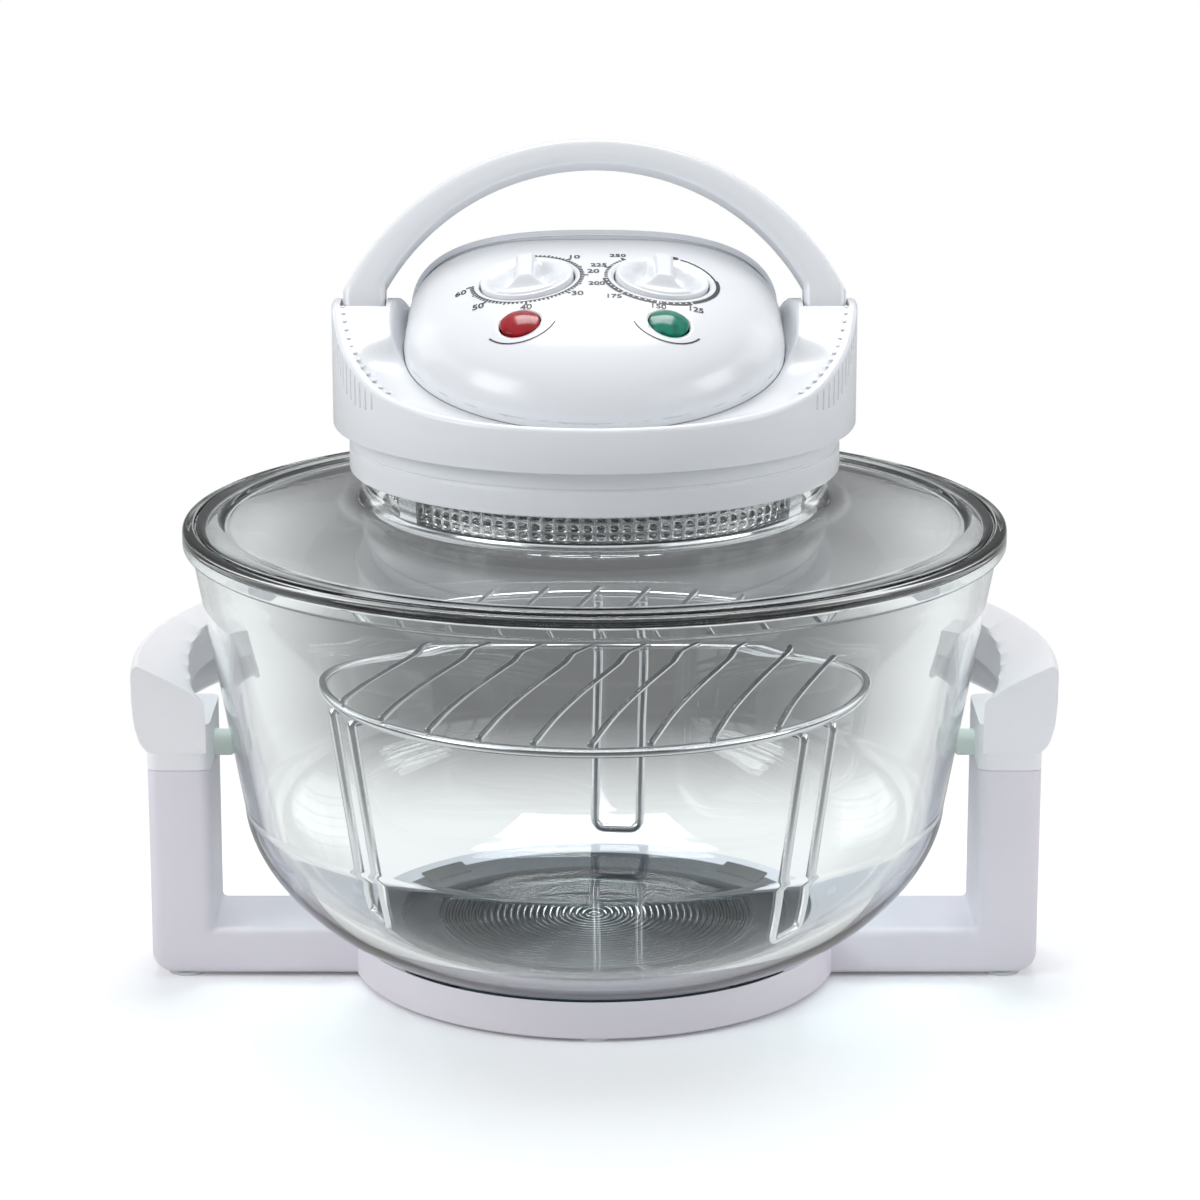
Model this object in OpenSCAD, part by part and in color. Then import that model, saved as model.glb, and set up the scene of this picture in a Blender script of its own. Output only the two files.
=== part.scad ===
// Countertop halogen oven: a glass bowl in a plastic stand, under a lift-off
// glass lid that carries the heater head and its swing handle.
// Origin at the centre of the stand on the table, +Z up, controls face -Y.

/* [Glass bowl] */
// Outer radius of the bowl's flared lip
bowl_lip_r = 168; // [165:1:172]
// Height of the lip's top above the table
bowl_top_z = 191; // [188:1:196]
// Height of the underside of the bowl's floor
bowl_base_z = 9.5; // [9:0.5:11]
// Outer radius where the rounded foot of the bowl ends
bowl_foot_r = 145; // [142:1:147]
// Radius of the flat part of the bowl's floor
bowl_flat_r = 70; // [66:1:74]
// Thickness of the bowl's wall
bowl_wall = 5; // [4:0.5:6]
// Thickness of the bowl's floor
bowl_floor = 6; // [5:0.5:8]

/* [Glass lid] */
// Outer radius of the lid's neck
neck_r = 93; // [91:0.5:93.5]
// Thickness of the lid's glass
lid_wall = 4; // [3:0.5:5]
// Height of the glass neck's top above the bowl's lip
neck_h = 31; // [29:0.5:32]

/* [Wire rack] */
// Radius of the rack's ring, to the wire's centre
rack_r = 112; // [106:1:114]
// Height of the rack's ring, to the wire's centre
rack_z = 124; // [100:1:130]
// Number of bars across the rack
rack_bars_n = 9; // [5:2:9]
// Gap between neighbouring bars, centre to centre
rack_pitch = 22; // [18:1:24]
// Diameter of the ring and leg wire
rack_wire = 4; // [3:0.5:5]
// Diameter of the bar wire
rack_bar_wire = 2.8; // [2:0.2:3]

/* [Stand] */
// Outer radius of the base ring
ring_r = 101; // [98:1:104]
// Wall of the stand's mouldings
stand_wall = 3; // [2.5:0.25:4]
// Depth of an arm and its post, front to back
arm_d = 48; // [40:1:54]
// Height of the arm's top
arm_top_z = 21; // [19:0.5:23]
// Thickness of a post, side to side
post_t = 26; // [24:0.5:30]
// Length of a bumper peg between the bowl and its post
peg_l = 7.3; // [5:0.1:9]
// How far a grip stands out past its post
grip_over = 7; // [5:0.5:12]
// Height of the grips' top edge
grip_top_z = 134; // [130:1:140]
// Height of the grips' lower edge, where the post ends
grip_low_z = 97; // [94:1:102]
// Angle that a grip sweeps back round the bowl
grip_sweep = 30; // [22:1:34]

/* [Heater head] */
// How far the collar stands out past the neck ring
collar_over = 6.4; // [6:0.2:10]
// Height of the collar's lower edge above the glass neck
neck_ring_h = 9.5; // [8:0.5:10.5]
// Height of the ears above the collar's lower edge
ear_h = 49.5; // [48:0.5:52]
// Height of the collar's front edge above its lower edge
collar_front_h = 17.5; // [16:0.5:19]
// Wall of the head's mouldings
head_wall = 3; // [2.5:0.25:3.5]
// Distance from the collar's outside in to the domed panel's edge
dome_inset = 30; // [29:0.5:32]
// Height of the dome above its own edge
dome_h = 31; // [28:0.5:33]
// Angle at which the dome leans forward
dome_tilt = 13; // [10:0.5:15]
// How far the plastic neck ring stands out past the glass neck
neck_ring_over = 6.6; // [6.2:0.2:8]

/* [Controls] */
// Distance from the centre line to a knob's axis
knob_x = 27; // [26:0.5:29]
// Radius of a knob
knob_r = 18.5; // [16:0.5:19]
// Outward lean of a knob's axis
knob_splay = 8; // [4:0.5:12]
// Distance from the centre line to an indicator lens
lens_x = 29; // [27:0.5:32]
// Radius of an indicator lens
lens_r = 7.8; // [6:0.2:9]

/* [Carry handle] */
// How much wider the arch's radius is than the half width over its feet
arch_over = 12; // [10.5:0.5:15]
// Height of the arch above its pivot
arch_h = 80; // [78:1:84]
// Width of the handle front to back
handle_d = 18; // [14:1:20]
// Width of each foot of the handle
foot_w = 17; // [14:0.5:17.5]
// Thickness of an ear outside the handle's foot
ear_t = 4.5; // [4:0.5:6]
// Thickness of the arch at its top
arch_t = 10; // [8:0.5:12]
// Height of the handle's pivot above the collar's lower edge
pivot_h = 34.5; // [33.5:0.5:36.5]
// Lean of the handle behind upright, at rest
handle_lean = 22; // [10:1:30]

/* [Heater and fan] */
// Radius of the lamp ring, to the tube's centre
lamp_r = 62; // [58:1:66]
// Radius of the lamp's quartz tube
lamp_tube_r = 5; // [4:0.5:5.5]
// Distance of the lamp's centre below the reflector
lamp_drop = 8.5; // [7.5:0.5:9.5]
// Radius of the convection fan
fan_r = 40; // [34:1:48]
// Radius of the fan shaft
shaft_r = 2.5; // [2:0.25:3]
// Gap between the glass neck's outside and the guard's wall
guard_inset = 9; // [8:0.5:11]

/* [Hidden] */
$fn = 96;

// Clearance between pieces that move past or rest on each other
gap = 0.3;
// Running clearance round a turning shaft
run_gap = 0.2;
// Small distance by which a cut passes a face
over = 1;

// Bowl outline: the rounded foot follows a flattened quarter oval
foot_h = 63.5;
foot_z = bowl_base_z + foot_h;
foot_power = 1.7;
foot_steps = 14;
lip_h = 8.5;
lip_w = 3.5;
lip_low_round = 2.2;
lip_top_round = 2.8;
throat_in = 7.5;
throat_drop = 31;
ledge_w = 5;
ledge_d = 4.5;
lip_under_z = bowl_top_z - lip_h;
wall_top_r = bowl_lip_r - lip_w;
throat_r = bowl_lip_r - throat_in;
throat_z = bowl_top_z - throat_drop;
ledge_r = bowl_lip_r - ledge_w;
ledge_z = bowl_top_z - ledge_d;
mouth_r = ledge_r - ledge_w;

function foot_point(a, r0, r1, z0, z1) = [
    r0 + (r1 - r0) * pow(sin(a), 2 / foot_power),
    z1 - (z1 - z0) * pow(cos(a), 2 / foot_power)];
function foot_curve(r0, r1, z0, z1) =
    [for (i = [0:foot_steps]) foot_point(90 * i / foot_steps, r0, r1, z0, z1)];
// Outer radius of the bowl's straight wall at height z
function bowl_wall_r(z) = bowl_foot_r + (throat_r - bowl_foot_r) * (z - foot_z) / (throat_z - foot_z);
// Height of the bowl's outside above the table at radius r in its rounded foot
function bowl_under_z(r) = let (s = max(0, (r - bowl_flat_r) / (bowl_foot_r - bowl_flat_r)))
    foot_z - (foot_z - bowl_base_z) * pow(1 - pow(s, foot_power), 1 / foot_power);

// Lid outline
lid_r = ledge_r - 0.6;
lid_low_z = ledge_z + gap;
lid_edge_t = 5;
lid_edge_round = 1.5;
lid_band = 9.5;
shoulder_h = 9;
shoulder_z = bowl_top_z + shoulder_h;
neck_top_z = bowl_top_z + neck_h;

// Neck ring and head stack, from the lid upwards
gasket_t = 3.5;
neck_plate_z = neck_top_z + gasket_t;
neck_low_z = neck_top_z - 9;
collar_low_z = neck_top_z + neck_ring_h;
collar_front_z = collar_low_z + collar_front_h;
ear_top_z = collar_low_z + ear_h;
pivot_z = collar_low_z + pivot_h;
neck_wall = 5.6;
neck_ring_r = neck_r + neck_ring_over;
collar_r = neck_ring_r + collar_over;
guard_r = neck_r - guard_inset;
pan_r = guard_r - 3;
plate_in_r = pan_r - 1;
pan_z = neck_top_z - 7.5;
sheet = 1.2;
pan_flange_r = guard_r;
clip_r = guard_r + 3.6;
guard_low_z = pan_z - 22.5;
lamp_z = pan_z - lamp_drop;
rim_tube_r = 2.3;
rim_z = guard_low_z + 4.5;
rim_major_r = guard_r + rim_tube_r + 0.1;
shield_z = collar_low_z;
shield_r = neck_r - 3.5;
bracket_z = collar_low_z + 15.5;
motor_r = 22;
motor_top_z = bracket_z + 16;
deck_h = -3;
dome_r = collar_r - dome_inset;
trough_r = dome_r + 6.5;
dome_power = 2.6;
dome_steps = 12;
dome_at = [0, -20, pivot_z];
cover_v = 46;
knob_v = -2;
lens_v = -38;
lens_lean = 13;
well_depth = 8;
panel_t = 2.5;
ear_half_y = 24;
ear_low_z = collar_low_z + 19.5;
slot_back_y = 21;
pin_r = 3;
lug_r = 9;
foot_out_x = collar_r - ear_t;
foot_in_x = foot_out_x - foot_w;
arch_r = foot_out_x + arch_over;

// Height of the dome above its edge plane at radius r
function dome_z(r, rr = dome_r, hh = dome_h) = hh * sqrt(max(0, 1 - pow(min(r, rr) / rr, dome_power)));
function dome_curve(rr, hh) = [for (i = [0:dome_steps])
    let (r = rr * sin(90 * i / dome_steps)) [r, dome_z(r, rr, hh)]];
function turned(list) = [for (i = [len(list) - 1:-1:0]) list[i]];

module both_sides() {
    children();
    mirror([1, 0, 0]) children();
}

module ring_of(n, start = 0) {
    for (i = [0:n - 1]) rotate([0, 0, start + 360 * i / n]) children();
}

module cylinder_at(x, y, z, r, h) {
    translate([x, y, z]) cylinder(r = r, h = h);
}

module tube(r_out, r_in, h) {
    difference() {
        cylinder(r = r_out, h = h);
        translate([0, 0, -over]) cylinder(r = r_in, h = h + 2 * over);
    }
}

// Points of an arc round a centre
function arc_points(c, r, a0, a1, n = 6) =
    [for (i = [0:n]) let (a = a0 + (a1 - a0) * i / n) [c[0] + r * cos(a), c[1] + r * sin(a)]];

// Rectangle with rounded corners
module round_rect(x0, x1, y0, y1, r) {
    polygon(concat(
        arc_points([x1 - r, y1 - r], r, 0, 90), arc_points([x0 + r, y1 - r], r, 90, 180),
        arc_points([x0 + r, y0 + r], r, 180, 270), arc_points([x1 - r, y0 + r], r, 270, 360)));
}

// Turns a profile drawn in X and Z into a plate of the given depth, centred on Y
module upright(depth) {
    translate([0, depth / 2, 0]) rotate([90, 0, 0]) linear_extrude(depth) children();
}

// Frame of the domed panel: its own Z is square to the dome's edge
module on_dome() {
    translate(dome_at) rotate([dome_tilt, 0, 0]) children();
}

// Frame of a knob, side -1 for time and 1 for temperature
module on_knob(side) {
    on_dome() translate([side * knob_x, knob_v, dome_z(knob_x) + 0.6])
        rotate([0, side * knob_splay, 0]) children();
}

module on_lens(side) {
    on_dome() translate([side * lens_x, lens_v, dome_z(norm([lens_x, lens_v]))])
        rotate([lens_lean, side * knob_splay, 0]) children();
}

// Stand
ring_low_z = 1.5;
ring_w = 17;
ring_in_r = ring_r - ring_w;
ring_groove = 3;
ring_edge_drop = 1.35;
plate_z = 4;
plate_t = 1.5;
seat_clear = 0.8;
arm_root_r = 12;
post_edge_r = 5;
heel_r = 8;
seam_z = 89.5;
peg_z = 95;
peg_r = 5.5;
peg_stem_r = 2.5;
peg_stem_l = 8;
peg_tip_x = max(bowl_wall_r(peg_z + peg_r), bowl_foot_r) + gap;
post_in_x = peg_tip_x + peg_l;
post_out_x = post_in_x + post_t;
post_mid_x = (post_in_x + post_out_x) / 2;
screw_r = 2;
screw_head_r = 4;
screw_head_h = 3;
screw_seat_z = 60;
screw_top_z = 106;
pad_r = 8;
pad_stem_r = 4.8;
pad_inset = 2;
pad_edge = 14;
ring_pad_edge = 9;
arm_pad_x = post_out_x - pad_edge;
arm_pad_y = 14;
ring_pad_r = ring_r - ring_pad_edge;
arm_spots = [[arm_pad_x, arm_pad_y], [arm_pad_x, -arm_pad_y]];
ring_spots = [[0, ring_pad_r], [0, -ring_pad_r]];

module ring_section() {
    polygon(concat(
        [[ring_in_r, ring_low_z], [ring_r, ring_low_z],
            [ring_r, bowl_under_z(ring_r) - seat_clear - gap - ring_edge_drop]],
        [for (r = [ring_r - 0.6:-2.8:ring_in_r]) [r, bowl_under_z(r) - seat_clear - gap]],
        [[ring_in_r, plate_z + plate_t + gap], [ring_in_r + ring_groove, plate_z + plate_t + gap],
            [ring_in_r + ring_groove, plate_z], [ring_in_r, plate_z]]));
}

module pad_sockets(spots) {
    for (p = spots)
        cylinder_at(p[0], p[1], ring_low_z - over, pad_stem_r + run_gap, over + pad_inset);
}

module base_ring() {
    color("white") difference() {
        rotate_extrude($fn = 144) ring_section();
        pad_sockets(ring_spots);
    }
}

// Room that the bowl's foot needs above the stand
module bowl_room() {
    rotate_extrude($fn = 144) polygon(concat(
        [for (r = [bowl_flat_r:5:bowl_foot_r - 1]) [r, bowl_under_z(r) - seat_clear - gap]],
        [[bowl_foot_r + 2, foot_z], [bowl_foot_r + 2, foot_z + 20], [bowl_flat_r, foot_z + 20]]));
}

module arm_plan() {
    side_y = arm_d / 2;
    root_x = sqrt(pow(ring_r + arm_root_r, 2) - pow(side_y + arm_root_r, 2));
    root_a = 180 - atan2(side_y + arm_root_r, root_x);
    root = arc_points([root_x, -side_y - arm_root_r], arm_root_r, root_a, 90);
    side = concat(root, arc_points([post_out_x - post_edge_r, post_edge_r - side_y], post_edge_r, -90, 0));
    polygon(concat(side, [for (p = turned(side)) [p[0], -p[1]]]));
}

module arm_and_post() {
    post_low = arm_top_z - 1;
    intersection() {
        union() {
            translate([0, 0, ring_low_z]) linear_extrude(arm_top_z - ring_low_z) arm_plan();
            translate([0, 0, post_low]) linear_extrude(seam_z - post_low)
                round_rect(post_in_x, post_out_x, -arm_d / 2, arm_d / 2, post_edge_r);
        }
        upright(arm_d + 60) round_rect(0, post_out_x, ring_low_z, seam_z + 20, heel_r);
    }
}

// The hollow under an arm, between the walls at its two ends
arm_end_wall = 12;
post_wall = 4;

module right_arm() {
    hollow_x = ring_r + arm_end_wall;
    hollow_l = post_in_x - hollow_x - post_wall;
    color("gainsboro") difference() {
        arm_and_post();
        translate([0, 0, -over]) cylinder(r = ring_r + 0.02, h = 3 * arm_top_z, $fn = 144);
        bowl_room();
        translate([hollow_x, -arm_d / 2 + stand_wall, -over])
            cube([hollow_l, arm_d - 2 * stand_wall, arm_top_z - stand_wall + over]);
        pad_sockets(arm_spots);
        translate([post_mid_x, 0, -over]) cylinder(r = screw_head_r + gap, h = screw_seat_z + over);
        cylinder_at(post_mid_x, 0, 0, screw_r + run_gap, seam_z + over);
    }
}

module left_arm() {
    mirror([1, 0, 0]) right_arm();
}

// Grip: a wall that curls in at its foot, a rolled top, and a lip that slopes in to the bowl
grip_r = post_out_x + grip_over;
grip_t = 3;
curl_h = 21;
curl_in = 6.5;
curl_foot_w = 2;
roll_w = 2.5;
roll_h = 3.5;
fold_w = 18.5;
fold_h = 8;
lip_end_h = 19.5;
lip_end_t = 3;
lip_end_round = 2.5;
lip_clear = 4.6;
lip_in_r = bowl_wall_r(grip_top_z - lip_end_h) + lip_clear;
block_h = 4;

function grip_curl(r, z, w, h) = [for (a = [0:22.5:90]) [r - w * (1 - sin(a)), z + h * (1 - cos(a))]];
function grip_outside(top = grip_top_z) = concat(
    grip_curl(grip_r, grip_low_z, curl_in, curl_h),
    [[grip_r, top - roll_h], [grip_r - roll_w / 3, top - roll_h / 4], [grip_r - roll_w, top],
        [grip_r - fold_w, top - fold_h], [lip_in_r + lip_end_round, top - lip_end_h + grip_t],
        [lip_in_r, top - lip_end_h]]);
function grip_inside(top = grip_top_z - grip_t, r = grip_r - grip_t) = concat(
    [[lip_in_r, grip_top_z - lip_end_h - lip_end_t], [grip_r - fold_w, top - fold_h - 0.6],
        [r - 1.5, top - 1.2], [r, top - roll_h + 0.5]],
    turned(grip_curl(r, grip_low_z + curl_foot_w, curl_in - 1, curl_h - curl_foot_w)));

module grip_section() {
    polygon(concat(grip_outside(), grip_inside()));
}

// The grip's outline without its hollow
module grip_filled() {
    polygon(concat([[post_in_x - curl_foot_w, grip_low_z]], grip_outside(),
        [[post_in_x - curl_foot_w, grip_top_z - lip_end_h - lip_end_t]]));
}

module grip_wedge(a0, a1, front_y) {
    far = 2 * grip_r;
    intersection() {
        linear_extrude(2 * grip_top_z) polygon([[0, 0], [far * cos(a0), far * sin(a0)],
            [far, 0], [far * cos(a1), far * sin(a1)]]);
        translate([0, front_y, 0]) cube([far, far, 2 * grip_top_z]);
    }
}

// Round cut, off the centre, that narrows the lip from the front of the grip to its back end
lip_cut_at = [0.187 * post_in_x, 0.19 * post_in_x];
lip_cut_r = post_in_x - 17;

module lip_cut(extra = 0) {
    translate([lip_cut_at[0], lip_cut_at[1], 0])
        cylinder(r = lip_cut_r + extra, h = 2 * grip_top_z, $fn = 144);
}

module right_grip() {
    front = -arm_d / 2;
    color("whitesmoke") difference() {
        union() {
            // Swept shell
            intersection() {
                difference() {
                    rotate_extrude($fn = 144) grip_section();
                    lip_cut();
                }
                grip_wedge(-20, grip_sweep, front);
            }
            // Front wall that closes the shell, and the block that stands on the post
            intersection() {
                translate([post_in_x, front, grip_low_z])
                    cube([grip_r - post_in_x, stand_wall, 2 * (grip_top_z - grip_low_z)]);
                rotate_extrude($fn = 144) grip_filled();
            }
            translate([0, 0, seam_z]) linear_extrude(screw_top_z + block_h - seam_z)
                round_rect(post_in_x, post_out_x, front, -front, post_edge_r);
            // Wall that closes the back end
            difference() {
                intersection() {
                    rotate_extrude($fn = 144) grip_filled();
                    grip_wedge(grip_sweep - 1, grip_sweep, front);
                }
                lip_cut(curl_in - 0.5);
            }
        }
        cylinder_at(post_mid_x, 0, seam_z - over, screw_r + 0.02, screw_top_z - seam_z + over);
        translate([post_in_x - over, 0, peg_z]) rotate([0, 90, 0])
            cylinder(r = peg_stem_r + 0.02, h = over + peg_stem_l);
    }
}

module left_grip() {
    mirror([1, 0, 0]) right_grip();
}

module bumper_pegs() {
    color("honeydew") both_sides() {
        translate([peg_tip_x, 0, peg_z]) rotate([0, 90, 0]) cylinder(r = peg_r, h = peg_l);
        translate([post_in_x, 0, peg_z]) rotate([0, 90, 0]) cylinder(r = peg_stem_r, h = peg_stem_l - 0.5);
    }
}

// Four soft pads on the ring, under the bowl's foot
seat_edge = 4;
seat_l = 7;
seat_out_r = ring_r - seat_edge;
seat_in_r = seat_out_r - seat_l;
seat_w = 24;

module bowl_pads() {
    color("lightgray") intersection() {
        rotate_extrude($fn = 144) polygon([
            [seat_in_r, bowl_under_z(seat_in_r) - seat_clear - gap + 0.02],
            [seat_out_r, bowl_under_z(seat_out_r) - seat_clear - gap + 0.02],
            [seat_out_r, bowl_under_z(seat_out_r) - gap], [seat_in_r, bowl_under_z(seat_in_r) - gap]]);
        ring_of(4, 45) translate([0, -seat_w / 2, 0]) cube([ring_r, seat_w, foot_z]);
    }
}

module rubber_feet() {
    color("dimgray") for (p = concat(arm_spots, [for (q = arm_spots) [-q[0], q[1]]], ring_spots)) {
        cylinder_at(p[0], p[1], 0, pad_r, ring_low_z);
        cylinder_at(p[0], p[1], ring_low_z, pad_stem_r, pad_inset - run_gap);
    }
}

rib_pitch = 20;
rib_w = 1.5;
rib_h = 0.6;

module heat_plate() {
    color("darkslategray") {
        cylinder_at(0, 0, plate_z, ring_in_r + ring_groove - 0.1, plate_t, $fn = 144);
        for (i = [1:3]) translate([0, 0, plate_z + plate_t])
            tube(i * rib_pitch + rib_w, i * rib_pitch, rib_h);
    }
}

module stand_screws() {
    color("silver") both_sides() {
        cylinder_at(post_mid_x, 0, screw_seat_z - screw_head_h, screw_head_r, screw_head_h);
        cylinder_at(post_mid_x, 0, screw_seat_z, screw_r, screw_top_z - screw_seat_z - 1);
    }
}

// Glass bowl
bowl_outline = concat(
    [[0, bowl_base_z]],
    foot_curve(bowl_flat_r, bowl_foot_r, bowl_base_z, foot_z),
    [[throat_r, throat_z], [wall_top_r - 0.5, lip_under_z - 4], [wall_top_r, lip_under_z - 1],
        [wall_top_r + 1, lip_under_z]],
    arc_points([bowl_lip_r - lip_low_round, lip_under_z + lip_low_round], lip_low_round, -90, 0),
    arc_points([bowl_lip_r - lip_top_round, bowl_top_z - lip_top_round], lip_top_round, 0, 90),
    [[ledge_r + 0.5, bowl_top_z], [ledge_r, bowl_top_z - 0.5], [ledge_r, ledge_z], [mouth_r, ledge_z],
        [mouth_r - 0.6, ledge_z - 1.4], [throat_r - bowl_wall, throat_z]],
    turned(foot_curve(bowl_flat_r - 2, bowl_foot_r - bowl_wall, bowl_base_z + bowl_floor, foot_z + 1)),
    [[0, bowl_base_z + bowl_floor]]);

module glass_bowl() {
    color("lightcyan", 0.4) rotate_extrude($fn = 144) polygon(bowl_outline);
}

// Height of the bowl's inside above the table at radius r
function bowl_inside_z(r) =
    let (flat_r = bowl_flat_r - 2, s = max(0, (r - flat_r) / (bowl_foot_r - bowl_wall - flat_r)),
        low = bowl_base_z + bowl_floor, high = foot_z + 1)
    high - (high - low) * pow(1 - pow(s, foot_power), 1 / foot_power);

// Wire rack
leg_angles = [-38, 84, 206];
leg_half_w = 10;
leg_foot_r = 98;
leg_r = rack_wire / 2;
leg_joint_r = leg_r - 0.1;
// Height that a leg's square foot needs above the sloping glass
leg_seat = 0.7;
leg_foot_z = bowl_inside_z(leg_foot_r + leg_r) + leg_r + leg_seat;
bar_turn = 12;
weld = 0.02;

module rack_ring() {
    color("silver") rotate_extrude($fn = 144) translate([rack_r, rack_z]) circle(r = leg_r, $fn = 24);
}

module rack_bars() {
    bar_r = rack_bar_wire / 2;
    bar_z = rack_z + leg_r + bar_r + weld;
    color("silver") rotate([0, 0, -bar_turn]) for (i = [0:rack_bars_n - 1]) {
        x = (i - (rack_bars_n - 1) / 2) * rack_pitch;
        half = sqrt(pow(rack_r, 2) - pow(x, 2));
        translate([x, half, bar_z]) rotate([90, 0, 0]) cylinder(r = bar_r, h = 2 * half, $fn = 24);
    }
}

module rack_legs() {
    rise = rack_z - leg_r - weld - gap - leg_foot_z;
    lean = atan2(rack_r - leg_foot_r, rise);
    color("silver") for (a = leg_angles) rotate([0, 0, a]) translate([leg_foot_r, 0, leg_foot_z]) {
        for (y = [-leg_half_w, leg_half_w]) translate([0, y, 0]) rotate([0, lean, 0])
            translate([0, 0, -leg_joint_r])
                cylinder(r = leg_r, h = rise / cos(lean) + leg_joint_r, $fn = 24);
        translate([0, leg_half_w, 0]) rotate([90, 0, 0])
            cylinder(r = leg_joint_r, h = 2 * leg_half_w, $fn = 24);
    }
}

// Glass lid
module glass_lid() {
    edge_top = lid_low_z + lid_edge_t;
    band_r = lid_r - lid_band;
    inner_r = neck_r - lid_wall;
    color("lightcyan", 0.4) rotate_extrude($fn = 144) polygon(concat(
        [[band_r, lid_low_z]],
        arc_points([lid_r - lid_edge_round, lid_low_z + lid_edge_round], lid_edge_round, -90, 0, 4),
        arc_points([lid_r - lid_edge_round, edge_top - lid_edge_round], lid_edge_round, 0, 90, 4),
        [[band_r, edge_top], [band_r - 3, edge_top - 1.2], [neck_r + 7, shoulder_z]],
        [[neck_r + 3, shoulder_z + 1.6], [neck_r + 1, shoulder_z + 4], [neck_r, shoulder_z + 8],
            [neck_r, neck_top_z - 1], [neck_r - 1, neck_top_z], [inner_r, neck_top_z],
            [inner_r, shoulder_z + 6], [inner_r + 1.2, shoulder_z + 1], [inner_r + 4, shoulder_z - 2.4],
            [neck_r + 7, shoulder_z - lid_wall], [band_r - 3, edge_top - 1.2 - lid_wall]]));
}

module neck_gasket() {
    color("gainsboro") translate([0, 0, neck_top_z]) tube(neck_r + 0.4, neck_r - lid_wall - 0.4, gasket_t);
}

groove_z = neck_top_z + 1.8;
groove_d = 0.8;
head_screw_r = 1.5;
head_screw_at = neck_ring_r - 4.6;
screw_hold = 4;

module neck_ring() {
    outer = neck_ring_r;
    color("white") difference() {
        rotate_extrude($fn = 144) polygon([
            [outer - neck_wall, neck_low_z], [outer - 0.8, neck_low_z], [outer, neck_low_z + 0.8],
            [outer, groove_z - groove_d], [outer - groove_d, groove_z - 0.3],
            [outer - groove_d, groove_z + 0.3], [outer, groove_z + groove_d], [outer, collar_low_z],
            [plate_in_r, collar_low_z], [plate_in_r, neck_plate_z], [outer - neck_wall, neck_plate_z]]);
        ring_of(4, 45) cylinder_at(head_screw_at, 0, collar_low_z - screw_hold - 0.5,
            head_screw_r + 0.02, screw_hold + over);
    }
}

// Heater tray under the neck ring
clip_w = 12;
guard_screw_at = guard_r - 6;
guard_screw_r = 1;
guard_screw_head_r = 2;
guard_screw_head_h = 1.4;
guard_ledge_w = 8.5;
guard_hole_r = 3.4;
guard_hole_drop = 8.5;
guard_row_edge = 12;
guard_row_pitch = 17.3;
guard_rows = [for (i = [0:3]) [guard_r - guard_row_edge - i * guard_row_pitch, 25 - 6 * i]];

module neck_clips() {
    low = rim_z + rim_tube_r + 0.2;
    color("silver") ring_of(3, -26) intersection() {
        translate([0, 0, low]) tube(clip_r, clip_r - sheet, neck_plate_z - low);
        translate([0, -clip_w / 2, low]) cube([neck_r, clip_w, neck_plate_z - low]);
    }
}

module reflector_pan() {
    color("lightgray") difference() {
        union() {
            translate([0, 0, pan_z]) cylinder(r = pan_r, h = sheet);
            translate([0, 0, pan_z]) tube(pan_r, pan_r - sheet, neck_plate_z - pan_z);
            translate([0, 0, neck_plate_z - sheet]) tube(pan_flange_r, pan_r - sheet, sheet);
        }
        cylinder_at(0, 0, pan_z - over, shaft_r + 2, 2 * over + sheet);
        ring_of(3, 34) cylinder_at(guard_screw_at, 0, pan_z - over, guard_screw_r + 0.1, 2 * over + sheet);
    }
}

module guard() {
    color("silver") difference() {
        union() {
            translate([0, 0, guard_low_z]) cylinder(r = guard_r, h = sheet);
            translate([0, 0, guard_low_z]) tube(guard_r, guard_r - sheet, pan_z - guard_low_z);
            translate([0, 0, pan_z - sheet]) tube(guard_r, guard_r - guard_ledge_w, sheet);
        }
        ring_of(3, 34) cylinder_at(guard_screw_at, 0, pan_z - over - sheet,
            guard_screw_r + 0.1, 2 * over + sheet);
        ring_of(30) translate([guard_r - sheet - over, 0, pan_z - guard_hole_drop]) rotate([0, 90, 0])
            cylinder(r = guard_hole_r, h = sheet + 2 * over, $fn = 24);
        for (q = guard_rows) ring_of(q[1])
            cylinder_at(q[0], 0, guard_low_z - over, guard_hole_r, 2 * over + sheet, $fn = 24);
    }
}

module guard_rim() {
    color("silver") rotate_extrude($fn = 144) translate([rim_major_r, rim_z])
        circle(r = rim_tube_r, $fn = 24);
}

module guard_screws() {
    color("silver") ring_of(3, 34) {
        cylinder_at(guard_screw_at, 0, pan_z - sheet - guard_screw_head_h,
            guard_screw_head_r, guard_screw_head_h);
        cylinder_at(guard_screw_at, 0, pan_z - sheet, guard_screw_r, 2 * sheet);
    }
}

// Lamp ring with its open side at the back
lamp_gap = 14;
socket_l = 12;
socket_w = 16;
socket_drop = 6.5;

module halogen_lamp() {
    color("ivory") difference() {
        rotate_extrude($fn = 96) translate([lamp_r, lamp_z]) circle(r = lamp_tube_r, $fn = 32);
        linear_extrude(2 * lamp_z) polygon([[0, 0],
            [2 * lamp_r * cos(90 - lamp_gap), 2 * lamp_r * sin(90 - lamp_gap)],
            [2 * lamp_r * cos(90 + lamp_gap), 2 * lamp_r * sin(90 + lamp_gap)]]);
    }
}

module lamp_sockets() {
    color("linen") both_sides() rotate([0, 0, 90 - lamp_gap])
        translate([lamp_r - socket_w / 2, 0, lamp_z - socket_drop])
            cube([socket_w, socket_l, pan_z - lamp_z + socket_drop]);
}

lamp_clip_w = 4;
lamp_clip_t = 1;
pad_hole_r = 12;
pad_h = 8;

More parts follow.
